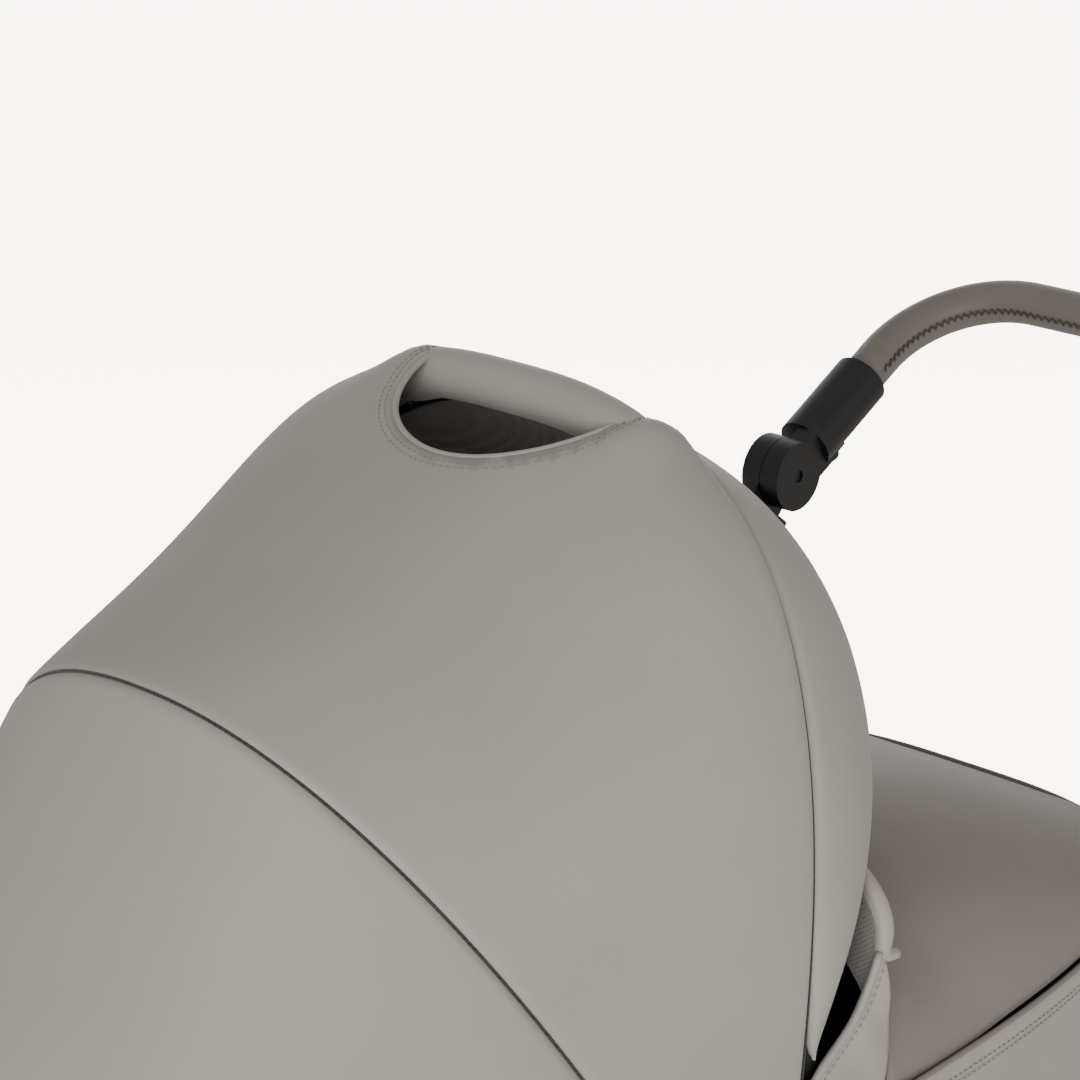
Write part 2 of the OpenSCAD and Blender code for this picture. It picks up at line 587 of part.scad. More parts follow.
// The wind flap: a stiff collar that stands round the apron's open edge, with a wing down each side.
flap_x = cot_w / 2 - 1.2;
flap_t = 3;
flap_rise = 140;
hem = [[20, 10], [42, 36], [56, 44], [71, 54], [81, 68], [88, 82]];
function flap_side(k) = let (s = k / 6, h = hem[min(5, k)]) [[flap_x, 24 + 78 * s, 1], [flap_x, h[0], h[1]]];
function flap_over(s) = let (x = flap_x * cos(90 * s), dome = apron_rise * pow(sin(acos(min(1, x / apron_half(apron_start)))), 0.85))
  [[x, apron_start - 1, max(1, dome + apron_t + 2)],
   [x, 91 + 18 * s, 82 + (flap_rise - 82) * pow(sin(90 * s), 0.75)]];
flap_half = [for (k = [0 : 5]) flap_side(k), for (s = [0.12 : 0.11 : 1.001]) flap_over(s)];
function flap_row(i, inset) = [for (k = [0 : 5]) flap_half[k][i] - [inset, 0, 0],
  for (k = [6 : len(flap_half) - 1]) flap_half[k][i] - [0, inset, 0]];
function mirrored(row) = [for (k = [len(row) - 2 : -1 : 0]) [-row[k][0], row[k][1], row[k][2]]];
function flap_line(i, inset) = let (row = flap_row(i, inset))
  [for (p = concat(row, mirrored(row))) p + [0, base_y, rim_z]];
module apron_flap() color(fabric) skin([flap_line(0, 0), flap_line(1, 0)], [flap_line(0, flap_t), flap_line(1, flap_t)]);

// ---- hood ----

plate_t = 5;
plate_x = cot_w / 2 - 5 - plate_t / 2;
ear_t = 6;
ear_r = 16;
function ear_x(layer) = plate_x - plate_t / 2 - 0.5 - ear_t / 2 - layer * (ear_t + 0.5);
ear_bore = 4;
module hood_hinge_plates() color(black) both() difference() {
  union() {
    along_x(plate_x, hinge_y, hinge_z, plate_t, ear_r + 2);
    translate([plate_x - plate_t / 2, hinge_y - 12, rim_z]) cube([plate_t, 24, hinge_up]);
  }
  along_x(plate_x, hinge_y, hinge_z, plate_t + 2, ear_bore);
}
module hood_hinge_pins() color("silver") both() {
  inner = ear_x(2) - ear_t / 2 - 2.5;
  translate([inner, hinge_y, hinge_z]) rotate([0, 90, 0]) cylinder(h = plate_x + plate_t / 2 - inner, r = ear_bore);
  translate([inner, hinge_y, hinge_z]) rotate([0, 90, 0]) cylinder(h = 2, r = 8);
}
// An eye on the hinge, with an arm towards a direction in the YZ plane.
module ear(layer, to, width) difference() {
  union() {
    along_x(ear_x(layer), hinge_y, hinge_z, ear_t, ear_r);
    translate([ear_x(layer), hinge_y, hinge_z]) rotate([atan2(to[1], to[0]) - 90, 0, 0])
      translate([0.4 - ear_t / 2, -width / 2, 2 * ear_bore]) cube([ear_t - 0.8, width, norm(to) - 2 * ear_bore]);
  }
  along_x(ear_x(layer), hinge_y, hinge_z, ear_t + 2, ear_bore + run);
}

bow_clear = 24;     // bows start this far from the hinge
function arch_start(r, lean, n, z) = asin(pow(z / (r * cos(lean)), n / 2));
// Points of an arch from one side to the other, above a height over the base line.
function bow_path(a, r, lean, n, z, steps = 40) = let (t0 = arch_start(r, lean, n, z))
  [for (k = [0 : steps]) arch(t0 + (180 - 2 * t0) * k / steps, a, r, lean, n)];

bow_inset = cloth_t + 1;
main_axis_r = main_bow_r - cloth_t - grip_d / 2 - 1;
main_half = ear_x(0) + 4;
main_z0 = base_drop + bow_clear;
module main_bow() color(black) {
  path = bow_path(main_half, main_axis_r, main_bow_lean, bow_exp_main, main_z0);
  loft(tube_rings(path, main_bow_d / 2));
  both() ear(0, [path[0][1] - hinge_y, path[0][2] - hinge_z + 14], 12);
}
module carry_grip() color(fabric) {
  path = bow_path(main_half, main_axis_r, main_bow_lean, bow_exp_main, main_z0);
  middle = [for (p = path) if (abs(p[0]) <= grip_l / 2 - 2) p];
  difference() {
    loft(tube_rings(middle, grip_d / 2, 20));
    loft(tube_rings(path, main_bow_d / 2));
  }
}
wire_d = 5;
module front_wire() color(black) {
  path = bow_path(cloth_half - cloth_t - wire_d / 2 - 4, front_seam_r - bow_inset - wire_d / 2, front_seam_lean,
    bow_exp_main, main_z0 + 4);
  loft(tube_rings(path, wire_d / 2, 8));
}
rear_bow_d = 8;
rear_half = ear_x(1) - 3;
module rear_bow() color(black) {
  r = rear_bow_r - cloth_t - rear_bow_d / 2 - 4;
  path = bow_path(rear_half, r, rear_bow_lean, bow_exp_rear, base_drop + 8);
  loft(tube_rings(path, rear_bow_d / 2));
  both() {
    foot = path[0] * 0.7 + path[1] * 0.3;
    ear(1, [foot[1] - hinge_y, foot[2] - hinge_z] * 0.99, 10);
    bar([ear_x(1) - 0.7, foot[1], foot[2]], [foot[0] - 0.9, foot[1], foot[2]], 4.4);
  }
}
visor_axis_r = visor_r - cloth_t - wire_d / 2 - 3;
module visor_wire() color(black) {
  t0 = asin(pow(bow_clear / visor_axis_r, visor_exp / 2));
  path = [for (k = [0 : 40]) hinge_arch(t0 + (180 - 2 * t0) * k / 40, cloth_half - 8, visor_axis_r, visor_lean, visor_exp)];
  loft(tube_rings(path, wire_d / 2, 8));
  both() {
    ear(2, [-sin(visor_lean) * (bow_clear + 6), cos(visor_lean) * (bow_clear + 6)], 10);
    foot = path[0] + 4 * [0, -sin(visor_lean), cos(visor_lean)];
    bar([ear_x(2) - ear_t / 2 + 0.7, foot[1], foot[2]], [foot[0] + 0.9, foot[1], foot[2]], 3.7);
  }
}

// Cloth between two arches. Each arch starts at the rim.
steps_round = 26;
function cloth_arch(a, r, lean, n, z, out) = let (rr = r - out, t0 = arch_start(rr, lean, n, z))
  [for (k = [0 : steps_round]) arch(t0 + (180 - 2 * t0) * k / steps_round, a - out, rr, lean, n)];
function mix(a, b, s) = [for (i = [0 : len(a) - 1]) a[i] * (1 - s) + b[i] * s];
module cloth(a0, b0, a1, b1, steps) skin([for (s = [0 : steps]) mix(a0, b0, s / steps)],
  [for (s = [0 : steps]) mix(a1, b1, s / steps)]);

rim_level = base_drop - hinge_up + touch;
function main_cloth(out) = cloth_arch(cloth_half, main_bow_r, main_bow_lean, bow_exp_main, rim_level, out);
function rear_cloth(out) = cloth_arch(cloth_half, rear_bow_r, rear_bow_lean, bow_exp_rear, rim_level, out);
function seam_cloth(out) = cloth_arch(cloth_half, front_seam_r, front_seam_lean, bow_exp_main, rim_level, out);
// The line where the hood's back meets the rim, round the head end.
function head_line(out) = [for (k = [0 : steps_round]) let (t = -28 - (180 - 56) * k / steps_round)
  [(cot_w / 2 - out) * power(cos(t), cot_exp), cot_y + (cot_l / 2 - out) * power(sin(t), cot_exp), rim_z + touch]];
grip_cut = grip_l / 2 + 9;
grip_cut_back = 57;
grip_cut_front = 29;
module grip_opening() {
  top = arch(90, main_half, main_axis_r, main_bow_lean, bow_exp_main);
  translate([0, top[1] - (grip_cut_back - grip_cut_front) / 2, top[2]])
    scale([1, (grip_cut_back + grip_cut_front) / 2 / grip_cut, 1]) cylinder(h = 170, r = grip_cut, center = true);
}
module hood_back() color(fabric) cloth(head_line(0), rear_cloth(0), head_line(cloth_t), rear_cloth(cloth_t), 3);
module hood_top() color(fabric) difference() {
  cloth(main_cloth(0), rear_cloth(0), main_cloth(cloth_t), rear_cloth(cloth_t), 3);
  grip_opening();
}
module hood_front() color(fabric) difference() {
  cloth(seam_cloth(0), main_cloth(0), seam_cloth(cloth_t), main_cloth(cloth_t), 1);
  grip_opening();
}
visor_edge_t0 = 4;
function visor_cloth(out) = [for (k = [0 : steps_round]) let (t = visor_edge_t0 + (180 - 2 * visor_edge_t0) * k / steps_round)
  hinge_arch(t, cloth_half - out, visor_r - out, visor_lean, visor_exp)];
function seam_from_hinge(out) = [for (p = cloth_arch(cloth_half, front_seam_r, front_seam_lean, bow_exp_main,
  base_drop + 6, out)) p + [0, 2 * touch, 0]];
module visor() color(fabric) cloth(visor_cloth(0), seam_from_hinge(0), visor_cloth(cloth_t), seam_from_hinge(cloth_t), 3);

front_frame();
hub_cores();
hub_bolts();
hub_bolt_caps();
caster_housings();
cot_adapters();
basket_hoop();
basket();
rear_legs();
rear_beam();
rear_axle_pins();
brake_rod();
brake_pedal();
push_tubes();
joint_sockets();
for (side = side_names) {
  fold_catch(side);
  tilt_button(side);
  front_fork(side);
  front_axle(side);
  front_tyre(side);
  front_rim(side);
  swivel_lock(side);
  rear_tyre(side);
  rear_rim(side);
  rear_hub_cap(side);
  cot_release(side);
}
handle_arms();
handle_core();
handle_cover();
cot_tub();
cot_rim();
cot_lining();
cot_board();
mattress();
cot_brackets();
cot_feet();
apron();
apron_flap();
hood_hinge_plates();
hood_hinge_pins();
rear_bow();
hood_back();
main_bow();
carry_grip();
front_wire();
hood_top();
hood_front();
visor_wire();
visor();
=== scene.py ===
import bpy
import bmesh
import math
from mathutils import Matrix, Vector


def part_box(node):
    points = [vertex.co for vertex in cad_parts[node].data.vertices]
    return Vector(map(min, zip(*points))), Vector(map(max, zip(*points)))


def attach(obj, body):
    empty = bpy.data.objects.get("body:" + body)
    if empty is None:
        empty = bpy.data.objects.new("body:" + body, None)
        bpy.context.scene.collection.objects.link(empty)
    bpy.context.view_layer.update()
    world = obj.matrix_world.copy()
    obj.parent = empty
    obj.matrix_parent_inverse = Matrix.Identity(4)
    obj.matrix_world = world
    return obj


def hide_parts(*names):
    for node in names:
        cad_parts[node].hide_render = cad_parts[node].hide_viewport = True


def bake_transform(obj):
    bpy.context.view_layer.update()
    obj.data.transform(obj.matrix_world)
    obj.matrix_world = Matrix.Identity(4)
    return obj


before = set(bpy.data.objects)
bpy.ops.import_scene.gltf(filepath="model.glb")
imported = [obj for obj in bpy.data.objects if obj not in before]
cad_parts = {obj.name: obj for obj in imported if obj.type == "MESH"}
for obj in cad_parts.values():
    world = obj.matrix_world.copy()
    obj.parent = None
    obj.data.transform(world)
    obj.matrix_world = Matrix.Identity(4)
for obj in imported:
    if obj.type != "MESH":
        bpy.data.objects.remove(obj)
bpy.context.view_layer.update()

# ---- Studio ----
# A wide pale floor that meets a white backdrop, a soft key light from the front with weaker side, top and back
# lights, and a long lens that looks down on the hood.

def linear(hex_colour):
    """The linear colour of an sRGB hex value."""
    parts = [int(hex_colour[i:i + 2], 16) / 255 for i in (0, 2, 4)]
    return [c / 12.92 if c <= 0.04045 else ((c + 0.055) / 1.055) ** 2.4 for c in parts] + [1.0]


def add(tree, kind, inputs=(), links=(), **settings):
    """Adds a node with its settings, its input values and the links into it, and returns it."""
    n = tree.nodes.new(kind)
    for key, value in settings.items():
        setattr(n, key, value)
    for key, value in dict(inputs).items():
        n.inputs[key].default_value = value
    for key, source in dict(links).items():
        tree.links.new(source, n.inputs[key])
    return n


def start_material(name, **sockets):
    """A new material with a Principled shader and the given values on its own sockets."""
    m = bpy.data.materials.new(name)
    m.use_nodes = True
    shader = m.node_tree.nodes["Principled BSDF"]
    for key, value in sockets.items():
        shader.inputs[key.replace("_", " ")].default_value = value
    return m, m.node_tree, shader


def put(name, vertices, faces, material, body, smooth=True):
    """Makes a mesh object at the origin with one material and rides it on a body."""
    mesh = bpy.data.meshes.new(name)
    mesh.from_pydata([tuple(v) for v in vertices], [], faces)
    b = bmesh.new()
    b.from_mesh(mesh)
    bmesh.ops.recalc_face_normals(b, faces=b.faces)
    b.to_mesh(mesh)
    b.free()
    mesh.polygons.foreach_set("use_smooth", [smooth] * len(mesh.polygons))
    o = bpy.data.objects.new(name, mesh)
    bpy.context.scene.collection.objects.link(o)
    if material:
        mesh.materials.append(material)
    if body:
        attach(o, body)
    return o


# Matt paint, so the pram throws a soft shadow and no reflection on it.
floor_paint, tree, shader = start_material("studio_floor_paint", Roughness=0.9)
shader.inputs["Base Color"].default_value = linear("F5F2EF")
shader.inputs["Emission Color"].default_value = linear("FAF1E8")
# The floor glows only for the camera and only away from the pram, so the backdrop is white, the pram keeps its
# soft shadow and nothing is lit from below.
place = add(tree, "ShaderNodeTexCoord").outputs["Object"]
away = add(tree, "ShaderNodeVectorMath", links={0: place}, operation="LENGTH")
spread = add(tree, "ShaderNodeMapRange", {"From Min": 0.7, "From Max": 2.0, "To Min": 1.1, "To Max": 8.5},
             {"Value": away.outputs["Value"]}, interpolation_type="SMOOTHSTEP")
seen = add(tree, "ShaderNodeLightPath").outputs["Is Camera Ray"]
glow = add(tree, "ShaderNodeMath", links={0: spread.outputs["Result"], 1: seen}, operation="MULTIPLY")
tree.links.new(glow.outputs["Value"], shader.inputs["Emission Strength"])
reach = 60.0
floor = put("studio_floor", [Vector((x * reach, y * reach, 0.0)) for x, y in ((-1, -1), (1, -1), (1, 1), (-1, 1))],
            [(0, 1, 2, 3)], floor_paint, None)

world = bpy.data.worlds.new("studio_light")
bpy.context.scene.world = world
world.use_nodes = True
world.node_tree.nodes["Background"].inputs["Color"].default_value = linear("FFFDFA")
world_seen = add(world.node_tree, "ShaderNodeLightPath").outputs["Is Camera Ray"]
world_strength = add(world.node_tree, "ShaderNodeMapRange", {"To Min": 0.42, "To Max": 9.0}, {"Value": world_seen})
world.node_tree.links.new(world_strength.outputs["Result"],
                          world.node_tree.nodes["Background"].inputs["Strength"])


def lamp(name, place, aim, size, power):
    """A square soft box at a place, aimed at a point."""
    light = bpy.data.lights.new(name, "AREA")
    light.size, light.energy, light.color = size, power, (1.0, 0.985, 0.965)
    o = bpy.data.objects.new(name, light)
    o.location = place
    o.rotation_euler = (Vector(aim) - Vector(place)).to_track_quat("-Z", "Y").to_euler()
    bpy.context.scene.collection.objects.link(o)


lamp("key_light", (1.6, -3.0, 1.5), (0.0, 0.0, 0.85), 1.8, 72)
lamp("side_light", (3.2, 0.6, 1.6), (0.0, 0.0, 0.8), 1.6, 22)
lamp("top_light", (-0.4, 0.3, 3.6), (0.0, 0.0, 0.8), 2.0, 2)
lamp("back_light", (-2.4, 2.6, 1.5), (0.0, 0.0, 0.8), 2.0, 30)

camera_data = bpy.data.cameras.new("view_camera")
camera_data.lens, camera_data.sensor_width, camera_data.clip_end = 117.0, 36.0, 200.0
camera = bpy.data.objects.new("view_camera", camera_data)
azimuth, down = math.radians(42), math.radians(20)
look = Vector((-math.sin(azimuth) * math.cos(down), math.cos(azimuth) * math.cos(down), -math.sin(down)))
camera.location = (1.090, -1.3424, 1.678)
camera.rotation_euler = look.to_track_quat("-Z", "Y").to_euler()
bpy.context.scene.collection.objects.link(camera)
bpy.context.scene.camera = camera


# ---- Hood ----
# Three leatherette panels on a rear bow, a main bow and a front wire, sewn in two curved seams. The middle
# panel runs on over the main bow and has an oval opening for the carry grip, with a turned and stitched hem.

def leatherette(name, light, dark, grain=1.1, rough=0.52):
    """A knit coated with polyurethane and pressed with a fine grain: smooth and matt with a soft sheen.

    The real grain is finer; it is drawn about 1 mm wide so that it shows.
    """
    m, tree, shader = start_material(name, Roughness=rough, IOR=1.48)
    shader.inputs["Sheen Weight"].default_value = 0.12
    shader.inputs["Sheen Roughness"].default_value = 0.5
    place = add(tree, "ShaderNodeTexCoord").outputs["Object"]
    cloud = add(tree, "ShaderNodeTexNoise", {"Scale": 9.0, "Detail": 3.0, "Roughness": 0.55}, {"Vector": place})
    ramp = add(tree, "ShaderNodeValToRGB", links={"Fac": cloud.outputs["Fac"]})
    ramp.color_ramp.elements[0].color, ramp.color_ramp.elements[1].color = linear(dark), linear(light)
    ramp.color_ramp.elements[0].position, ramp.color_ramp.elements[1].position = 0.35, 0.62
    pebble = add(tree, "ShaderNodeTexVoronoi", {"Scale": 1000 / grain, "Randomness": 1.0}, {"Vector": place},
                 feature="SMOOTH_F1")
    fine = add(tree, "ShaderNodeTexNoise", {"Scale": 1000 / (grain * 2.6), "Detail": 2.0}, {"Vector": place})
    height = add(tree, "ShaderNodeMath", links={0: pebble.outputs["Distance"], 1: fine.outputs["Fac"]},
                 operation="ADD")
    bump = add(tree, "ShaderNodeBump", {"Strength": 0.16, "Distance": 0.0004}, {"Height": height.outputs["Value"]})
    tree.links.new(ramp.outputs["Color"], shader.inputs["Base Color"])
    tree.links.new(bump.outputs["Normal"], shader.inputs["Normal"])
    satin = add(tree, "ShaderNodeMapRange", {"To Min": rough - 0.05, "To Max": rough + 0.07},
                {"Value": fine.outputs["Fac"]})
    tree.links.new(satin.outputs["Result"], shader.inputs["Roughness"])
    return m


def woven(name, light, dark, thread=0.9, rough=0.85, strength=0.5):
    """A plain weave of spun thread: dull, with painted shade: its colour is lighter on the crowns of the threads and
    darker between them.
    """
    m, tree, shader = start_material(name, Roughness=rough)
    shader.inputs["Sheen Weight"].default_value = 0.25
    place = add(tree, "ShaderNodeTexCoord").outputs["Object"]
    turned = add(tree, "ShaderNodeMapping", {"Rotation": (0.6, 0.5, 0.35)}, {"Vector": place})
    waves = [add(tree, "ShaderNodeTexWave", {"Scale": 1000 / thread / 6.283, "Distortion": 0.4},
                 {"Vector": turned.outputs["Vector"]}, bands_direction=d) for d in ("X", "Z")]
    cross = add(tree, "ShaderNodeMath", links={0: waves[0].outputs["Fac"], 1: waves[1].outputs["Fac"]},
                operation="MAXIMUM")
    # Painted shade: the colour follows the weave's height, dark in its hollows and light on its crowns.
    ramp = add(tree, "ShaderNodeValToRGB", links={"Fac": cross.outputs["Value"]})
    ramp.color_ramp.elements[0].color, ramp.color_ramp.elements[1].color = linear(dark), linear(light)
    bump = add(tree, "ShaderNodeBump", {"Strength": strength, "Distance": 0.0005}, {"Height": cross.outputs["Value"]})
    tree.links.new(ramp.outputs["Color"], shader.inputs["Base Color"])
    tree.links.new(bump.outputs["Normal"], shader.inputs["Normal"])
    return m


hood_leatherette = leatherette("hood_leatherette", "A5A29B", "A19D95")
# The lining is a thin woven polyester, darker and duller than the face.
hood_lining = woven("hood_lining_polyester", "989490", "75716D")
# Bonded nylon thread is smooth and a shade darker than the cloth.
sewing_thread, tree, shader = start_material("bonded_nylon_thread", Roughness=0.6)
shader.inputs["Base Color"].default_value = linear("87827B")

hood_half, base_line = 0.210, Vector((0.0, -0.205388, 0.740))
hood_hinge = Vector((0.0, -0.175388, 0.886))
rim_top = 0.8405
columns = 200
apex = columns // 2


def power(x, n):
    """A sine or cosine bent to the corner shape of a superellipse."""
    return math.copysign(abs(x) ** (2 / n), x)


def arch(half, reach, lean, n, start, foot=rim_top, count=columns):
    """An arch of the hood from the right rim to the left, evenly spaced along its length."""
    tilt = math.radians(lean)
    low = max(0.0, (foot - start.z) / (reach * math.cos(tilt)))
    t0 = math.asin(min(1.0, low ** (n / 2)))
    fine, fine_steps = [], 1200
    for k in range(fine_steps + 1):
        t = t0 + (math.pi - 2 * t0) * k / fine_steps
        h = reach * power(math.sin(t), n)
        fine.append(Vector((half * power(math.cos(t), n), start.y - h * math.sin(tilt),
                            start.z + h * math.cos(tilt))))
    return evenly(fine, count)


def evenly(points, count):
    """The same line with count + 1 points, evenly spaced along it."""
    far = [0.0]
    for a, b in zip(points, points[1:]):
        far.append(far[-1] + (b - a).length)
    out, i = [], 0
    for k in range(count + 1):
        want = far[-1] * k / count
        while i < len(points) - 2 and far[i + 1] < want:
            i += 1
        step = far[i + 1] - far[i]
        out.append(points[i].lerp(points[i + 1], (want - far[i]) / step if step else 0.0))
    return out


def grid_normals(rows):
    """The outward normal at each point of a grid of rows across the hood."""
    out = []
    for i, row in enumerate(rows):
        before, after = rows[max(0, i - 1)], rows[min(len(rows) - 1, i + 1)]
        line = []
        for k in range(len(row)):
            u = row[min(k + 1, len(row) - 1)] - row[max(k - 1, 0)]
            v = after[k] - before[k]
            line.append(u.cross(v).normalized() * -1)
        out.append(line)
    return out


def steps_between(total, step):
    """Distances across a panel: close rows by both sewn edges, even rows between."""
    near = [0.0, 0.0009, 0.002, 0.0035, 0.0055, 0.008]
    inner = total - 2 * near[-1]
    count = max(2, round(inner / step))
    middle = [near[-1] + inner * k / count for k in range(1, count)]
    return [d / total for d in near + middle + [total - d for d in reversed(near)]]


def strip_faces(rows, wide, closed=True, round_again=False):
    """Quads between neighbouring rows of points.

    Closed rows join their end to their start, and round_again joins the last row to the first.
    """
    return [(i * wide + k, i * wide + (k + 1) % wide, (i + 1) % rows * wide + (k + 1) % wide,
             (i + 1) % rows * wide + k)
            for i in range(rows if round_again else rows - 1) for k in range(wide if closed else wide - 1)]


def give_wall(o, thickness, offset=-1.0, inner=None):
    """Gives a skin its wall; the inner face may have a material of its own."""
    wall = o.modifiers.new("wall", "SOLIDIFY")
    wall.thickness, wall.offset = thickness, offset
    if inner:
        o.data.materials.append(inner)
        wall.material_offset = 1


def tuck(distance, depth=0.0030, width=0.0024):
    """How far a sewn edge turns in at a distance from its seam."""
    return depth * math.exp(-(distance / width) ** 1.5)


def cloth_piece(name, rows, keep=lambda i, k: True, out=Vector((0, 0, 1))):
    """A hood panel from a grid of rows, its face towards out and the lining on its inner face."""
    wide = len(rows[0])
    faces = []
    for i in range(len(rows) - 1):
        for k in range(wide - 1):
            corners = ((i, k), (i + 1, k), (i + 1, k + 1), (i, k + 1))
            if all(keep(*c) for c in corners):
                faces.append([a * wide + b for a, b in corners])
    o = put(name, [p for r in rows for p in r], faces, hood_leatherette, None)
    b = bmesh.new()
    b.from_mesh(o.data)
    bmesh.ops.delete(b, geom=[v for v in b.verts if not v.link_faces], context="VERTS")
    b.faces.ensure_lookup_table()
    probe = max(b.faces, key=lambda f: f.calc_center_median().dot(out))
    if probe.normal.dot(out) < 0:
        bmesh.ops.reverse_faces(b, faces=b.faces)
    b.to_mesh(o.data)
    b.free()
    give_wall(o, 0.0026, inner=hood_lining)
    return o


rear_arch = arch(hood_half, 0.399, 29, 2.2, base_line)
main_arch = arch(hood_half, 0.449, -7, 2.9, base_line)
seam_arch = arch(hood_half, 0.425, -11.7, 2.98, base_line)

# The middle panel: straight from the rear seam up to the main bow, round over it, and down to the front seam.
lengths = [(main_arch[apex] - rear_arch[apex]).length, (seam_arch[apex] - main_arch[apex]).length]
back_steps, front_steps = steps_between(lengths[0], 0.0052), steps_between(lengths[1], 0.0046)
middle_rows = []
for s in back_steps[:-6]:
    sag = -0.006 * math.sin(math.pi * min(1.0, s / 0.86)) ** 2
    middle_rows.append([a.lerp(m, s) + sag * Vector((0, -0.55, 0.83)) * (0.25 + 0.75 * max(0.0, 1 - abs(a.x) / 0.2))
                        for a, m in zip(rear_arch, main_arch)])
for s in front_steps[6:]:
    middle_rows.append([m.lerp(f, s) for m, f in zip(main_arch, seam_arch)])
bend_at = len(back_steps) - 6
for _ in range(22):
    soft = [list(r) for r in middle_rows]
    for i in range(max(2, bend_at - 9), min(len(middle_rows) - 8, bend_at + 5)):
        for k in range(columns + 1):
            soft[i][k] = middle_rows[i][k] * 0.5 + (middle_rows[i - 1][k] + middle_rows[i + 1][k]) * 0.25
    middle_rows = soft
# The cloth rises over both ends of the grip where it slips off the bow.
for i, row in enumerate(middle_rows):
    for k in range(60, 141):
        p = row[k]
        for end_x, high, spread in ((-0.058, 0.0090, 0.018), (0.089, 0.0100, 0.0145)):
            away = Vector(((p.x - end_x) / spread, (p.y + 0.152) / 0.026, 0)).length
            row[k] = row[k] + Vector((0, 0.1, 1)) * (high * math.exp(-away ** 2))
normals = grid_normals(middle_rows)
for i, row in enumerate(middle_rows):
    for k in range(columns + 1):
        near_rear = (row[k] - rear_arch[k]).length
        near_front = (row[k] - seam_arch[k]).length
        row[k] = row[k] - normals[i][k] * (tuck(near_rear) + tuck(near_front))

plain_rows = [[p.copy() for p in r] for r in middle_rows]
plain_normals = grid_normals(plain_rows)
# An oval, deeper on the side of the head, its right end turned a little forwards.
opening_centre, opening_x, opening_y = Vector((0.014, -0.1620)), 0.061, 0.0325
opening_low, opening_turn = 1.8, 0.008


def in_opening(p):
    """Less than 1 inside the opening and more outside it; the lower parts of the hood are always outside."""
    if p.z < 1.02:
        return 9.0
    u = (p.x - opening_centre.x) / opening_x
    v = p.y - opening_centre.y - opening_turn * max(0.0, u) ** 2
    return math.hypot(u, v / (opening_y if v > 0 else opening_y * opening_low))


def opening_edge(a, grow=0.0):
    """A place on the opening's edge, or outside it by grow."""
    u, v = math.cos(a), math.sin(a)
    deep = (opening_y if v > 0 else opening_y * opening_low) + grow
    return (opening_centre.x + (opening_x + grow) * u,
            opening_centre.y + deep * v + opening_turn * max(0.0, u) ** 2)


inside = [[in_opening(p) < 1 for p in row] for row in middle_rows]
for i, row in enumerate(middle_rows):
    for k, p in enumerate(row):
        if not inside[i][k] and any(inside[a][b] for a in (i - 1, i, i + 1) for b in (k - 1, k, k + 1)
                                    if 0 <= a < len(inside) and 0 <= b <= columns):
            # A point beside the opening moves onto its edge, along the surface.
            target = p
            for a, b in ((i - 1, k), (i + 1, k), (i, k - 1), (i, k + 1)):
                if 0 <= a < len(inside) and 0 <= b <= columns and inside[a][b]:
                    low, high = 0.0, 1.0
                    for _ in range(20):
                        half = (low + high) / 2
                        if in_opening(p.lerp(middle_rows[a][b], half)) > 1:
                            low = half
                        else:
                            high = half
                    q = p.lerp(middle_rows[a][b], low)
                    if target is p or (q - p).length < (target - p).length:
                        target = q
            if target is p:
                for a, b in ((i - 1, k - 1), (i - 1, k + 1), (i + 1, k - 1), (i + 1, k + 1)):
                    if 0 <= a < len(inside) and 0 <= b <= columns and inside[a][b]:
                        q = middle_rows[a][b]
                        share = (in_opening(p) - 1) / max(1e-6, in_opening(p) - in_opening(q))
                        target = p.lerp(q, share)
            row[k] = target.copy()
middle_panel = cloth_piece("hood_middle_panel", middle_rows, lambda i, k: not inside[i][k])


def surface_point(x, y):
    """The point of the middle panel over a place, from the nearest grid cell, and the normal there."""
    best, found = 9.0, None
    for i in range(len(plain_rows)):
        for k in range(30, 171):
            p = plain_rows[i][k]
            d = (p.x - x) ** 2 + (p.y - y) ** 2
            if d < best:
                best, found = d, (i, k)
    i, k = found
    p, n = plain_rows[i][k], plain_normals[i][k]
    z = p.z - (n.x * (x - p.x) + n.y * (y - p.y)) / n.z
    return Vector((x, y, z)), n


def tube(name, path, radius, material, body, sides=12, closed=False, normals_at=None):
    """A round cord or roll along a path of points, closed or capped at its ends."""
    vertices, n, side = [], len(path), None
    for i, p in enumerate(path):
        before = path[i - 1] if closed or i else path[0]
        after = path[(i + 1) % n] if closed or i < n - 1 else path[-1]
        t = (after - before).normalized()
        if normals_at:
            side = (normals_at[i] - t * normals_at[i].dot(t)).normalized()
        elif side is None:
            side = t.cross(Vector((0.3, 0.2, 1.0))).normalized()
        else:
            side = (side - t * side.dot(t)).normalized()
        across = t.cross(side)
        r = radius(i / max(1, n - 1)) if callable(radius) else radius
        for k in range(sides):
            a = 2 * math.pi * k / sides
            vertices.append(p + side * (r * math.cos(a)) + across * (r * math.sin(a)))
    faces = strip_faces(n, sides, round_again=closed)
    if not closed:
        faces.append(tuple(range(sides)))
        faces.append(tuple((n - 1) * sides + k for k in reversed(range(sides))))
    return put(name, vertices, faces, material, body)


def nodes_tree(name, sizes):
    """A Geometry Nodes tree with named inputs for its sizes, its group input and its output."""
    tree = bpy.data.node_groups.new(name, "GeometryNodeTree")
    tree.interface.new_socket("Geometry", in_out="INPUT", socket_type="NodeSocketGeometry")
    for label, value in sizes.items():
        kind = "NodeSocketInt" if isinstance(value, int) else "NodeSocketFloat"
        tree.interface.new_socket(label, in_out="INPUT", socket_type=kind).default_value = value
    tree.interface.new_socket("Geometry", in_out="OUTPUT", socket_type="NodeSocketGeometry")
    return tree, add(tree, "NodeGroupInput"), add(tree, "NodeGroupOutput")


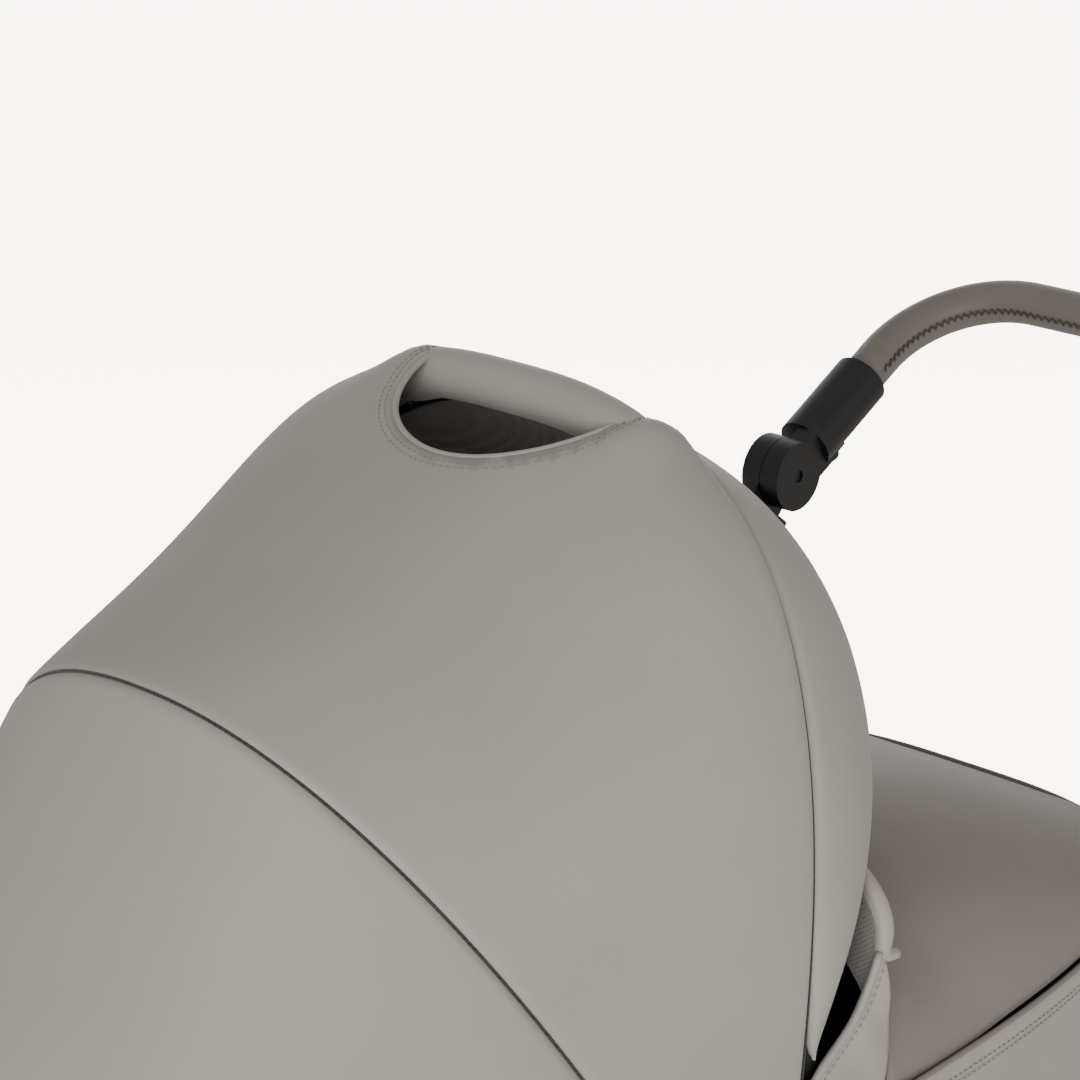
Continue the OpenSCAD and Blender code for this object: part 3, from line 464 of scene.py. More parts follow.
def lay_nodes(name, points, edges, tree, pieces, material, result):
    """Ends a tree in Realize Instances and Set Material, runs it on a line of points and keeps the plain mesh."""
    real = add(tree, "GeometryNodeRealizeInstances", links={"Geometry": pieces})
    painted = add(tree, "GeometryNodeSetMaterial", {"Material": material}, {"Geometry": real.outputs["Geometry"]})
    tree.links.new(painted.outputs["Geometry"], result.inputs["Geometry"])
    mesh = bpy.data.meshes.new(name + "_line")
    mesh.from_pydata([tuple(p) for p in points], edges, [])
    o = bpy.data.objects.new(name, mesh)
    bpy.context.scene.collection.objects.link(o)
    modifier = o.modifiers.new(name, "NODES")
    modifier.node_group = tree
    for item in tree.interface.items_tree:
        if item.in_out == "INPUT" and item.name != "Geometry":
            modifier[item.identifier] = item.default_value
    done = bpy.data.meshes.new_from_object(o.evaluated_get(bpy.context.evaluated_depsgraph_get()))
    o.modifiers.remove(modifier)
    o.data = done
    return o


def stitch_run(name, path, length, gap, thread, body):
    """Stitches along a path: a tapered bar of sewing thread on each stretch."""
    tree, given, result = nodes_tree("stitches", {"Stitch Pitch": length + gap, "Stitch Length": length,
                                                  "Thread Diameter": thread})
    line = add(tree, "GeometryNodeMeshToCurve", links={"Mesh": given.outputs["Geometry"]})
    spaced = add(tree, "GeometryNodeResampleCurve", links={"Curve": line.outputs["Curve"],
                                                           "Length": given.outputs["Stitch Pitch"]}, mode="LENGTH")
    spots = add(tree, "GeometryNodeCurveToPoints", links={"Curve": spaced.outputs["Curve"]}, mode="EVALUATED")
    bar = add(tree, "GeometryNodeMeshIcoSphere", {"Radius": 0.5, "Subdivisions": 2})
    size = add(tree, "ShaderNodeCombineXYZ", links={"X": given.outputs["Thread Diameter"],
                                                    "Y": given.outputs["Thread Diameter"],
                                                    "Z": given.outputs["Stitch Length"]})
    laid = add(tree, "GeometryNodeInstanceOnPoints", links={
        "Points": spots.outputs["Points"], "Instance": bar.outputs["Mesh"], "Rotation": spots.outputs["Rotation"],
        "Scale": size.outputs["Vector"]})
    o = lay_nodes(name, path, [(i, i + 1) for i in range(len(path) - 1)], tree, laid.outputs["Instances"],
                  sewing_thread, result)
    o.data.polygons.foreach_set("use_smooth", [True] * len(o.data.polygons))
    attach(o, body)
    return o


# The hem of the opening: the edge is turned under into a soft roll, with two rows of stitches beside it.
hem_path, hem_normals, hem_count = [], [], 120
for k in range(hem_count):
    a = 2 * math.pi * k / hem_count
    p, n = surface_point(*opening_edge(a))
    hem_path.append(p - n * 0.0011)
    hem_normals.append(n)
for _ in range(3):
    hem_path = [hem_path[i - 1] * 0.25 + hem_path[i] * 0.5 + hem_path[(i + 1) % hem_count] * 0.25
                for i in range(hem_count)]
hem_roll = tube("hood_opening_hem", hem_path, 0.0017, hood_leatherette, "hood_main", 10, True,
                normals_at=hem_normals)
for row_number, grow in enumerate((0.0045, 0.0075)):
    line = []
    for k in range(241):
        a = 2 * math.pi * k / 240
        p, n = surface_point(*opening_edge(a, grow))
        line.append(p + n * 0.00005)
    stitch_run(f"hood_opening_stitches_{row_number + 1}", line, 0.0026, 0.0012, 0.0007,
                                   "hood_main")

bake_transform(middle_panel)
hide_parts("hood_top", "hood_front")

# The head panel runs from the rear seam down to the rim round the head end, and the visor from the front seam
# to its own wire. Both have a turned edge; the visor's is a soft roll round the wire.
head_points = []
for k in range(801):
    a = math.radians(-24 - (180 - 48) * k / 800)
    head_points.append(Vector((0.2065 * power(math.cos(a), 3.2), -0.145388 + 0.3915 * power(math.sin(a), 3.2),
                               rim_top)))
head_line = evenly(head_points, columns)
head_steps = steps_between((rear_arch[apex] - head_line[apex]).length, 0.0056)
head_rows = []
for s in head_steps:
    head_rows.append([h.lerp(a, s) for h, a in zip(head_line, rear_arch)])
head_out = grid_normals(head_rows)
for i, (s, row) in enumerate(zip(head_steps, head_rows)):
    for k in range(columns + 1):
        full = 0.008 * math.sin(math.pi * s) * math.sin(math.pi * k / columns) ** 0.5
        turned = tuck((row[k] - rear_arch[k]).length) + 0.4 * tuck((row[k] - head_line[k]).length)
        row[k] = row[k] + head_out[i][k] * (full - turned)
head_panel = cloth_piece("hood_head_panel", head_rows, out=Vector((0, -1, 0.4)))
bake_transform(head_panel)
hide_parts("hood_back")

visor_arch = arch(hood_half, 0.249, -42, 1.95, hood_hinge, foot=hood_hinge.z + 0.003)
visor_seam = arch(hood_half, 0.425, -11.7, 2.98, base_line, foot=0.890)
visor_steps = steps_between((visor_arch[apex] - visor_seam[apex]).length, 0.0045)
visor_rows = [[a.lerp(v, s) for a, v in zip(visor_seam, visor_arch)] for s in visor_steps]
visor_out = grid_normals(visor_rows)
for i, (s, row) in enumerate(zip(visor_steps, visor_rows)):
    for k in range(columns + 1):
        apart = (visor_seam[k] - visor_arch[k]).length
        full = min(0.010, apart * 0.09) * math.sin(math.pi * s) ** 0.9
        row[k] = row[k] + visor_out[i][k] * (full - tuck(apart * s) - 0.9 * tuck(apart * (1 - s), 0.004, 0.004))
visor_panel = cloth_piece("hood_visor_panel", visor_rows, out=Vector((0, 0.35, 1)))
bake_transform(visor_panel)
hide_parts("visor")

# The seams get painted shade: a thin near-black cord laid in the groove where the panels' edges meet.
seam_shadow = woven("seam_groove_painted_shade", "3A3734", "232120", thread=1.0)
for name, seam, outward, body in (("hood_rear_seam_painted_shade", rear_arch, head_out[-1], "hood_rear"),
                                  ("hood_front_seam_painted_shade", seam_arch, visor_out[0], "hood_main")):
    tube(name, [p - n * 0.0026 for p, n in zip(seam, outward)], 0.0009, seam_shadow, body, 6)


# ---- Carry grip ----
# A foam sleeve in leatherette round the main bow, seen through the hood's opening. It is sewn closed along its
# underside and tapers at both ends where it meets the bow.

grip_reach = 0.4325
grip_line = [p for p in arch(0.2015, grip_reach, -7, 2.9, base_line, foot=0.91, count=400) if -0.080 < p.x < 0.108]
grip_line = evenly(grip_line, 64)
for p in grip_line:
    beyond = max(0.0, abs(p.x - 0.014) - 0.060)
    p.z -= 0.0045 * min(1.0, beyond / 0.025)
carry_grip = tube("carry_grip_sleeve", grip_line,
                  lambda s: 0.0126 * min(1.0, 0.55 + 0.45 * math.sin(math.pi * min(0.5, 4.0 * min(s, 1 - s)))),
                  hood_leatherette, "hood_main", 28)
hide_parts("carry_grip")
under = [p + Vector((0, 0.0035, -0.0124)) for p in grip_line[3:-3]]
stitch_run("carry_grip_stitches", under, 0.0030, 0.0014, 0.0009, "hood_main")


# ---- Handlebar cover ----
# Leatherette wrapped round the aluminium tube and laced together along its inner side in a herringbone, so two
# raised lips meet there with slanted stitches across them.

cover_leatherette = leatherette("handlebar_leatherette", "837A73", "7A726B", grain=1.0, rough=0.5)
# Waxed thread is dark, thick and slightly shiny.
lace_thread, tree, shader = start_material("waxed_lacing_thread", Roughness=0.5)
shader.inputs["Base Color"].default_value = linear("4F4944")
bar_half, bar_rings = 0.226, 260
handle_joint, handle_tilt = Vector((bar_half, 0.351612, 0.946)), math.radians(62)
along_arm = Vector((0, math.sin(handle_tilt), math.cos(handle_tilt)))
arm_straight, handle_bend = 0.192 - 0.076, 0.076
arm_from, bend_centre = 0.093, bar_half - handle_bend
bends = [(math.cos(math.radians(a)), math.sin(math.radians(a))) for a in range(0, 91, 3)]
arm = [arm_from + (arm_straight - arm_from) * k / 6 for k in range(6)]
bar_line = [Vector((x, handle_joint.y, handle_joint.z)) + along_arm * up for x, up in (
    [(bar_half, up) for up in arm]
    + [(bend_centre + handle_bend * c, arm_straight + handle_bend * d) for c, d in bends]
    + [(bend_centre - 2 * bend_centre * k / 60, arm_straight + handle_bend) for k in range(1, 60)]
    + [(-bend_centre - handle_bend * d, arm_straight + handle_bend * c) for c, d in bends]
    + [(-bar_half, up) for up in reversed(arm)])]
bar_line = evenly(bar_line, bar_rings)
plane_normal = Vector((0, math.cos(handle_tilt), -math.sin(handle_tilt)))
cover_points, sides = [], 48
lace_angle = math.radians(104)
for i, p in enumerate(bar_line):
    t = (bar_line[min(i + 1, bar_rings)] - bar_line[max(i - 1, 0)]).normalized()
    inward = t.cross(plane_normal).normalized()
    for k in range(sides):
        a = 2 * math.pi * k / sides
        off = abs((a - lace_angle + math.pi) % (2 * math.pi) - math.pi) * 14.25
        lip = 0.00055 * math.exp(-((off - 1.5) / 0.9) ** 2) - 0.0016 * math.exp(-(off / 0.9) ** 2)
        end = 0.0012 * max(0.0, 1 - min(i, bar_rings - i) / 3)
        r = 0.01415 + lip - end
        cover_points.append(p + plane_normal * (r * math.cos(a)) + inward * (r * math.sin(a)))
cover_faces = strip_faces(bar_rings + 1, sides)
for base in (0, bar_rings * sides):
    cover_faces.append(tuple(base + k for k in range(sides)))
handle_sleeve = put("handlebar_leatherette_cover", cover_points, cover_faces, cover_leatherette, "handlebar")
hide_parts("handle_cover")

# The lacing: one slanted stitch each way in every 5.6 mm, pressed into the lips.
lace_points, lace_faces = [], []
total = sum((b - a).length for a, b in zip(bar_line, bar_line[1:]))
count = int(total / 0.0056)
lace_line = evenly(bar_line, count * 2)
for i in range(3, 2 * count - 3):
    t = (lace_line[i + 1] - lace_line[i - 1]).normalized()
    inward = t.cross(plane_normal).normalized()
    outward = plane_normal * math.cos(lace_angle) + inward * math.sin(lace_angle)
    ends = []
    for where, shift in ((-1, -0.0017), (1, 0.0017)) if i % 2 else ((-1, 0.0017), (1, -0.0017)):
        a = lace_angle + where * 0.155
        ends.append(lace_line[i] + t * shift + (plane_normal * math.cos(a) + inward * math.sin(a)) * 0.01455)
    spine = [ends[0], lace_line[i] + outward * 0.01440, ends[1]]
    base = len(lace_points)
    w = (ends[1] - ends[0]).normalized().cross(outward).normalized()
    for q, r in zip(spine, (0.00035, 0.00055, 0.00035)):
        for c in range(4):
            b = math.pi / 4 + math.pi / 2 * c
            lace_points.append(q + w * (r * math.cos(b)) + outward * (r * math.sin(b)))
    lace_faces += [tuple(base + v for v in face) for face in strip_faces(3, 4)]
    lace_faces.append(tuple(base + c for c in range(4)))
    lace_faces.append(tuple(base + 8 + c for c in range(4)))
put("handlebar_lacing", lace_points, lace_faces, lace_thread, "handlebar")


# ---- Apron ----
# One piece of padded leatherette, domed over the foot end. Its lower edge is piped and fastened under the rim,
# and its open end meets the wind flap.

apron_leatherette = leatherette("apron_leatherette", "857D76", "7F7770")
apron_from, apron_to, apron_high = base_line.y + 0.099, base_line.y + 0.442, 0.122
cot_centre_y, cot_half, cot_half_long = -0.145388, 0.2045, 0.390


def rim_half(y):
    """Half the width of the rim at a place along the pram."""
    return cot_half * max(0.0, 1 - abs((y - cot_centre_y) / cot_half_long) ** 3.2) ** (1 / 3.2)


def apron_point(s, k, count):
    """A point of the dome: s from the open end to the foot, k across."""
    y = apron_from + (apron_to - apron_from) * s
    a = math.pi * k / count
    high = apron_high * (1 - s ** 1.6)
    half = max(0.02, rim_half(y))
    up = high * max(0.0, math.sin(a)) ** 0.85
    beside = abs(half * power(math.cos(a), 2.2)) / 0.2
    hollow = 0.010 * math.exp(-((s - 0.14) / 0.10) ** 2) * math.exp(-((beside - 0.93) / 0.10) ** 2)
    crease = 0.0035 * math.exp(-(up / 0.007) ** 2)
    return Vector((half * power(math.cos(a), 2.2), y, 0.8418 + up - hollow + crease * 0.4))


apron_rows = []
for i in range(61):
    s = 0.985 * i / 60
    apron_rows.append(evenly([apron_point(s, k, 400) for k in range(401)], 120))
# Past the last row the cover turns down round the foot end of the rim.
foot_row = [Vector((p.x, apron_to + 0.0035 * (1 - (p.x / 0.21) ** 2), 0.8435)) for p in apron_rows[-1]]
apron_rows.append([p.lerp(q, 0.7) for p, q in zip(apron_rows[-1], foot_row)])
apron_rows.append([Vector((p.x, p.y, 0.8405)) for p in foot_row])
wide = 121
apron_faces = [(i * wide + k, (i + 1) * wide + k, (i + 1) * wide + k + 1, i * wide + k + 1)
               for i in range(len(apron_rows) - 1) for k in range(wide - 1)]
apron_cover = put("apron_padded_cover", [p for r in apron_rows for p in r], apron_faces, apron_leatherette,
                  "carrycot")
if sum(f.normal.z for f in apron_cover.data.polygons) < 0:
    apron_cover.data.flip_normals()
give_wall(apron_cover, 0.0045, inner=hood_lining)
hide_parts("apron")

# The piping and the band of the rim: a leatherette strip round the whole rim, with a sewn cord along its top.
side_leatherette = leatherette("cot_side_leatherette", "ABA59E", "A59F98")
rim_loop = []
for k in range(900):
    a = 2 * math.pi * k / 900
    rim_loop.append(Vector((0.205 * power(math.cos(a), 3.2), cot_centre_y + 0.390 * power(math.sin(a), 3.2), 0.0)))
rim_count = 300
rim_loop = evenly(rim_loop + [rim_loop[0]], rim_count)[:-1]


def round_rim(grow, z):
    """The rim's outline moved outwards by grow at a height."""
    out = []
    for i, p in enumerate(rim_loop):
        t = (rim_loop[(i + 1) % rim_count] - rim_loop[i - 1]).normalized()
        out.append(Vector((p.x, p.y, z)) + Vector((t.y, -t.x, 0)) * grow)
    return out


def ring_strip(name, rings, material, body):
    """A closed strip through rings round the cot."""
    faces = strip_faces(len(rings), len(rings[0]), round_again=True)
    return put(name, [p for r in rings for p in r], faces, material, body)


rim_band = ring_strip("rim_leatherette_band", [round_rim(g, z) for g, z in (
    (-0.0002, 0.8400), (0.0012, 0.8412), (0.0024, 0.8395), (0.0027, 0.8340), (0.0024, 0.8275), (0.0010, 0.8262),
    (-0.0002, 0.8270), (0.0003, 0.8330))], side_leatherette, "carrycot")
tube("rim_piping", round_rim(0.0022, 0.8408), 0.0016, apron_leatherette, "carrycot", 8, True)
stitch_run("rim_band_stitches", round_rim(0.0029, 0.8300), 0.0030, 0.0014, 0.0007, "carrycot")


# ---- Wind flap ----
# A stiffened collar that stands round the apron's open end. Its wings run down to the rim on both sides, with a
# bound hem; its top edge is rolled over and its corners are folded.

flap_plane, flap_pairs = 0.2035, []
hem_points = [(0.020, 0.010), (0.042, 0.036), (0.056, 0.044), (0.071, 0.054), (0.081, 0.068), (0.088, 0.082)]


def smoothed(line, times):
    """A line of points with its corners eased and its ends kept."""
    for _ in range(times):
        line = [line[0]] + [(a + b * 2 + c) / 4 for a, b, c in zip(line, line[1:], line[2:])] + [line[-1]]
    return line


smooth_hem = smoothed(evenly([Vector((0, *p)) for p in hem_points], 24), 4)
for j in range(25):
    s = j / 24
    flap_pairs.append((Vector((flap_plane, 0.024 + 0.071 * s, 0.002)),
                       Vector((flap_plane, smooth_hem[j].y, smooth_hem[j].z))))
for j in range(1, 49):
    s = j / 48
    x = flap_plane * math.cos(math.radians(90 * s))
    dome = apron_high * max(0.0, 1 - (x / 0.204) ** 2) ** 0.425
    top = 0.082 + 0.058 * math.sin(math.radians(90 * s)) ** 0.75
    flap_pairs.append((Vector((x, 0.097, max(0.002, dome + 0.001))), Vector((x, 0.0895 + 0.018 * s, top))))
flap_pairs += [(Vector((-a.x, a.y, a.z)), Vector((-b.x, b.y, b.z))) for a, b in reversed(flap_pairs[:-1])]
flap_origin = Vector((0, base_line.y, 0.840))
flap_rows = []
for m in range(13):
    s = m / 12
    row = []
    for j, (a, b) in enumerate(flap_pairs):
        p = a.lerp(b, s)
        side_way = 1 if j < 73 else -1
        bulge = 0.0035 * math.sin(math.pi * s) * (1 if abs(p.x) > 0.19 else 0.3)
        wrinkle = 0.0009 * math.sin(9 * s + 0.8 * j) * math.sin(math.pi * s) if abs(p.x) > 0.195 else 0.0
        row.append(flap_origin + p + Vector((side_way * (bulge + wrinkle), 0, 0)))
    flap_rows.append(row)
wide = len(flap_pairs)
wind_flap = put("wind_flap_collar", [p for r in flap_rows for p in r],
                strip_faces(len(flap_rows), wide, closed=False), side_leatherette, "carrycot")
middle_face = min(wind_flap.data.polygons, key=lambda f: abs(f.center.x) + 10 * abs(f.center.z - 0.96))
if middle_face.normal.y < 0:
    wind_flap.data.flip_normals()
give_wall(wind_flap, 0.0026, -0.4, inner=hood_lining)
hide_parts("apron_flap")

hem_top = [flap_origin + b for a, b in flap_pairs]
for side_way, name in ((1, "right"), (-1, "left")):
    wing = [Vector((side_way * (p.x + 0.0012), p.y, p.z)) for p in hem_top[:25]]
    tube(f"wind_flap_binding_{name}", wing, 0.0019, side_leatherette, "carrycot", 10)
    inset = [p + Vector((side_way * 0.0019, 0.0040, -0.0022)) for p in wing]
    stitch_run(f"wind_flap_stitches_{name}", inset, 0.0026, 0.0013, 0.0006, "carrycot")
roll = [p + Vector((0, 0.0035, 0.0005)) for p in hem_top[23:-23]]
tip_in = roll[0] + Vector((0.0015, 0.012, -0.002)), roll[-1] + Vector((-0.0015, 0.012, -0.002))
roll_line = smoothed(evenly([tip_in[0]] + roll + [tip_in[1]], 150), 3)
top_roll = tube("wind_flap_rolled_edge", roll_line, lambda s: 0.0048 * min(1.0, 0.55 + 9 * min(s, 1 - s)),
                side_leatherette, "carrycot", 16)


# ---- Carrycot ----
# A moulded tub in leatherette with a soft padded wall, lined with quilted cotton, on a fibreboard base. The
# mattress is foam in a jersey cover with a piped edge.


def repaint(material, *nodes):
    """Gives a CAD node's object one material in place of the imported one."""
    for name in nodes:
        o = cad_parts[name]
        o.data.materials.clear()
        o.data.materials.append(material)


tub_foot, tub_high = 0.610, 0.230


def tub_outline(share, grow, count=200):
    """The tub's outline at a share of its height, moved outwards by grow."""
    k = share ** 0.75
    w = 0.205 * (0.74 + 0.26 * k) + grow
    l = 0.390 * (0.86 + 0.14 * k) + grow
    pts = []
    for i in range(1200):
        a = 2 * math.pi * i / 1200
        pts.append(Vector((w * power(math.cos(a), 3.2), cot_centre_y + l * power(math.sin(a), 3.2),
                           tub_foot + tub_high * share)))
    return evenly(pts + [pts[0]], count)[:-1]


levels = [0.0, 0.004, 0.015, 0.04, 0.09] + [0.09 + 0.85 * k / 22 for k in range(1, 23)]
tub_rings = []
for n, share in enumerate(levels):
    puff = 0.0028 * math.sin(math.pi * min(1.0, share / 0.94)) ** 0.7
    tub_rings.append(tub_outline(share, puff + (-0.006 if n == 0 else -0.0015 if n == 1 else 0.0)))
tub_points = [p for r in tub_rings for p in r]
n = 200
tub_faces = strip_faces(len(tub_rings), n) + [tuple(reversed(range(n)))]
tub_cover = put("cot_tub_cover", tub_points, tub_faces, side_leatherette, "carrycot")


def faces_out(o):
    """Whether a shell's faces point away from the cot's middle."""
    return sum(f.normal.dot(Vector((f.center.x, f.center.y - cot_centre_y, 0))) for f in o.data.polygons) > 0


if not faces_out(tub_cover):
    tub_cover.data.flip_normals()
give_wall(tub_cover, 0.006)
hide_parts("cot_tub")

# A vertical seam at each corner of the cover, and one row of stitches under the rim band.
for corner, index in (("front_right", 0.155), ("front_left", 0.345), ("rear_left", 0.655), ("rear_right", 0.845)):
    line = [r[int(index * n) % n] for r in tub_rings[2:-1]]
    outward = [Vector((p.x, p.y - cot_centre_y, 0)).normalized() for p in line]
    tube(f"cot_seam_{corner}", [p - o * 0.0006 for p, o in zip(line, outward)], 0.0013, side_leatherette,
         "carrycot", 6)
under_band = tub_outline(0.925, 0.0026)
stitch_run("cot_top_stitches", under_band + [under_band[0]], 0.0030, 0.0014, 0.0007, "carrycot")

# The quilted lining: a padded shell inside the tub, stitched through in diamonds 62 mm across, plain beside the
# mattress and along the top hem. Its brushed cotton is dull and dark.
quilt = woven("lining_quilted_cotton", "5E5B58", "45423F", thread=0.9)
lining_rings, around, lining_rows = [], 400, 48
lining_foot, lining_top, round_length, diamond = 0.0692, 0.925, 1.92, 0.062
for row in range(lining_rows + 1):
    share = lining_foot + (lining_top - lining_foot) * row / lining_rows
    plain, ring = tub_outline(share, -0.0094, around), []
    shown = min(1.0, max(0.0, (share - 0.22) / 0.05)) * min(1.0, (lining_top - share) / 0.03)
    run = 0.0
    for k, p in enumerate(plain):
        run += (p - plain[k - 1]).length if k else 0.0
        u = run / round_length * 31 * math.pi
        v = tub_high * share / diamond * math.pi
        puff = 0.0036 * shown * abs(math.sin((u + v) / 2) * math.sin((u - v) / 2)) ** 0.5
        t = (plain[(k + 1) % around] - plain[k - 1]).normalized()
        ring.append(p - Vector((t.y, -t.x, 0)) * puff)
    lining_rings.append(ring)
lining_faces = strip_faces(lining_rows + 1, around) + [tuple(range(around))]
quilted_lining = put("quilted_lining", [p for r in lining_rings for p in r], lining_faces, quilt, "carrycot")
if faces_out(quilted_lining):
    quilted_lining.data.flip_normals()
give_wall(quilted_lining, 0.0026)
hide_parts("cot_lining")

# The base is pressed fibreboard: flat, brown and faintly meshed on its rough side.
board = woven("fibreboard_base", "A58A68", "8B7355", thread=1.4, strength=0.15)
repaint(board, "cot_board")

# The mattress: the foam block's shape, crowned on top and pulled in at its piped edge, in soft cream jersey.
jersey = woven("mattress_jersey", "F2EFE8", "DEDAD1", thread=0.9, rough=0.9, strength=0.3)
mat_rings = []
base_share, top_share = 16.5 / 230, 46.5 / 230
for s, grow in ((0.0, -0.026), (0.08, -0.0170), (0.25, -0.0142), (0.5, -0.0134), (0.75, -0.0142), (0.92, -0.0170),
                (1.0, -0.024)):
    outline = tub_outline(base_share + (top_share - base_share) * s, grow)
    mat_rings.append([Vector((p.x, p.y, 0.6265 + 0.030 * s)) for p in outline])
for shrink in (0.94, 0.85, 0.7, 0.5, 0.3, 0.12):
    lift = 0.0015 + 0.0045 * (1 - shrink ** 2)
    mat_rings.append([Vector((p.x * shrink, cot_centre_y + (p.y - cot_centre_y) * shrink, 0.6565 + lift))
                      for p in mat_rings[6]])
mat_faces = strip_faces(len(mat_rings), n)
mat_faces += [tuple(reversed(range(n))), tuple((len(mat_rings) - 1) * n + k for k in range(n))]
mattress_pad = put("mattress_cover", [p for r in mat_rings for p in r], mat_faces, jersey, "carrycot")
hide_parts("mattress")
tube("mattress_piping", [Vector((p.x, p.y, 0.6555)) for p in tub_outline(top_share, -0.0178)], 0.0018, jersey,
     "carrycot", 8, True)


# ---- Frame tubes ----
# The legs, push tubes, basket hoop and hood wires are drawn tube and wire with an anthracite powder coat, which is
# satin and very finely pebbled. The tubes are pressed into the joints, and the wires are sewn into the cloth.

def moulded(name, colour, rough=0.55, texture=0.6, depth=0.25):
    """A moulded plastic with the fine texture of its mould, slightly mottled."""
    m, tree, shader = start_material(name, Roughness=rough, IOR=1.5)
    place = add(tree, "ShaderNodeTexCoord").outputs["Object"]
    speck = add(tree, "ShaderNodeTexNoise", {"Scale": 1000 / texture, "Detail": 3.0}, {"Vector": place})
    cloud = add(tree, "ShaderNodeTexNoise", {"Scale": 14.0, "Detail": 2.0}, {"Vector": place})
    base = linear(colour)
    ramp = add(tree, "ShaderNodeValToRGB", links={"Fac": cloud.outputs["Fac"]})
    ramp.color_ramp.elements[0].color = [c * 0.86 for c in base[:3]] + [1]
    ramp.color_ramp.elements[1].color = [min(1, c * 1.12) for c in base[:3]] + [1]
    bump = add(tree, "ShaderNodeBump", {"Strength": depth, "Distance": 0.0003}, {"Height": speck.outputs["Fac"]})
    worn = add(tree, "ShaderNodeMapRange", {"To Min": rough - 0.08, "To Max": rough + 0.1},
               {"Value": cloud.outputs["Fac"]})
    tree.links.new(ramp.outputs["Color"], shader.inputs["Base Color"])
    tree.links.new(worn.outputs["Result"], shader.inputs["Roughness"])
    tree.links.new(bump.outputs["Normal"], shader.inputs["Normal"])
    return m


def plated(name, colour, rough, streak=1.2):
    """A bare or plated metal with faint drawing lines along X, about 1.2 mm apart."""
    m, tree, shader = start_material(name, Roughness=rough, Metallic=1.0)
    place = add(tree, "ShaderNodeTexCoord").outputs["Object"]
    drawn = add(tree, "ShaderNodeMapping", {"Scale": (20.0, 1000 / streak, 1000 / streak)}, {"Vector": place})
    lines = add(tree, "ShaderNodeTexNoise", {"Scale": 1.0, "Detail": 2.0}, {"Vector": drawn.outputs["Vector"]})
    bump = add(tree, "ShaderNodeBump", {"Strength": 0.1, "Distance": 0.0002}, {"Height": lines.outputs["Fac"]})
    shine = add(tree, "ShaderNodeMapRange", {"To Min": rough - 0.06, "To Max": rough + 0.08},
                {"Value": lines.outputs["Fac"]})
    shader.inputs["Base Color"].default_value = linear(colour)
    tree.links.new(shine.outputs["Result"], shader.inputs["Roughness"])
    tree.links.new(bump.outputs["Normal"], shader.inputs["Normal"])
    return m


powder_coat = moulded("anthracite_powder_coat", "2E2D2E", rough=0.42, texture=0.35, depth=0.12)
repaint(powder_coat, "front_frame", "rear_legs", "push_tubes", "front_wire", "visor_wire", "basket_hoop")


# ---- Joints and brackets ----
# The hubs, sockets, housings, forks, brackets and hood bows are moulded in glass-filled nylon with a spark-eroded
# texture, matt black. Most are screwed or pressed on the tubes, and the bows turn on pins.

black_nylon = moulded("black_glass_filled_nylon", "1D1C1C", rough=0.5)
repaint(black_nylon, "hub_cores", "hub_bolt_caps", "caster_housings", "cot_adapters", "rear_beam", "brake_pedal",
        "joint_sockets", "handle_arms", "front_fork_left", "front_fork_right", "cot_rim", "cot_brackets", "cot_feet",
        "hood_hinge_plates", "main_bow", "rear_bow", "rear_hub_cap_left", "rear_hub_cap_right")

# Moulded plastic has a small radius on its edges, which the bare solids lack.
for name in ("hub_cores", "hub_bolt_caps", "joint_sockets", "cot_brackets", "brake_pedal", "cot_adapters"):
    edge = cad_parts[name].modifiers.new("edge_radius", "BEVEL")
    edge.width, edge.segments, edge.limit_method, edge.angle_limit = 0.0009, 2, "ANGLE", math.radians(50)
    edge.harden_normals = False


# ---- Buttons and catches ----
# The tilt and release buttons, swivel tabs and fold rings are nylon too, smoother and a shade darker, because they
# are handled. The rings slide on the push tubes and the rest in pockets.

button_nylon = moulded("charcoal_button_nylon", "171616", rough=0.4, texture=0.4)
repaint(button_nylon, "tilt_button_left", "tilt_button_right", "cot_release_left", "cot_release_right",
        "swivel_lock_left", "swivel_lock_right", "fold_catch_left", "fold_catch_right")


# ---- Bolts, pins and the handle's core ----
# Bolts, axles, hinge pins and the brake rod are zinc-plated steel, grey and dull; the handlebar's tube is bare drawn
# aluminium, brighter. Both keep faint drawing lines.

zinc = plated("zinc_plated_steel", "B9BABD", 0.32)
repaint(zinc, "hub_bolts", "rear_axle_pins", "brake_rod", "front_axle_left", "front_axle_right", "hood_hinge_pins")
bare_tube = plated("drawn_aluminium_tube", "C9C9CC", 0.35)
repaint(bare_tube, "handle_core")


# ---- Wheels ----
# Nylon rims with foam-filled rubber tyres. Rubber is dull and dark grey, and its tread has lugs in two staggered
# rows round a plain tyre body.

rim_nylon = moulded("anthracite_rim_nylon", "2A292A", rough=0.46)
repaint(rim_nylon, "front_rim_left", "front_rim_right", "rear_rim_left", "rear_rim_right")
rubber = moulded("tyre_rubber", "232222", rough=0.78, texture=0.9, depth=0.35)
repaint(rubber, "front_tyre_left", "front_tyre_right", "rear_tyre_left", "rear_tyre_right")


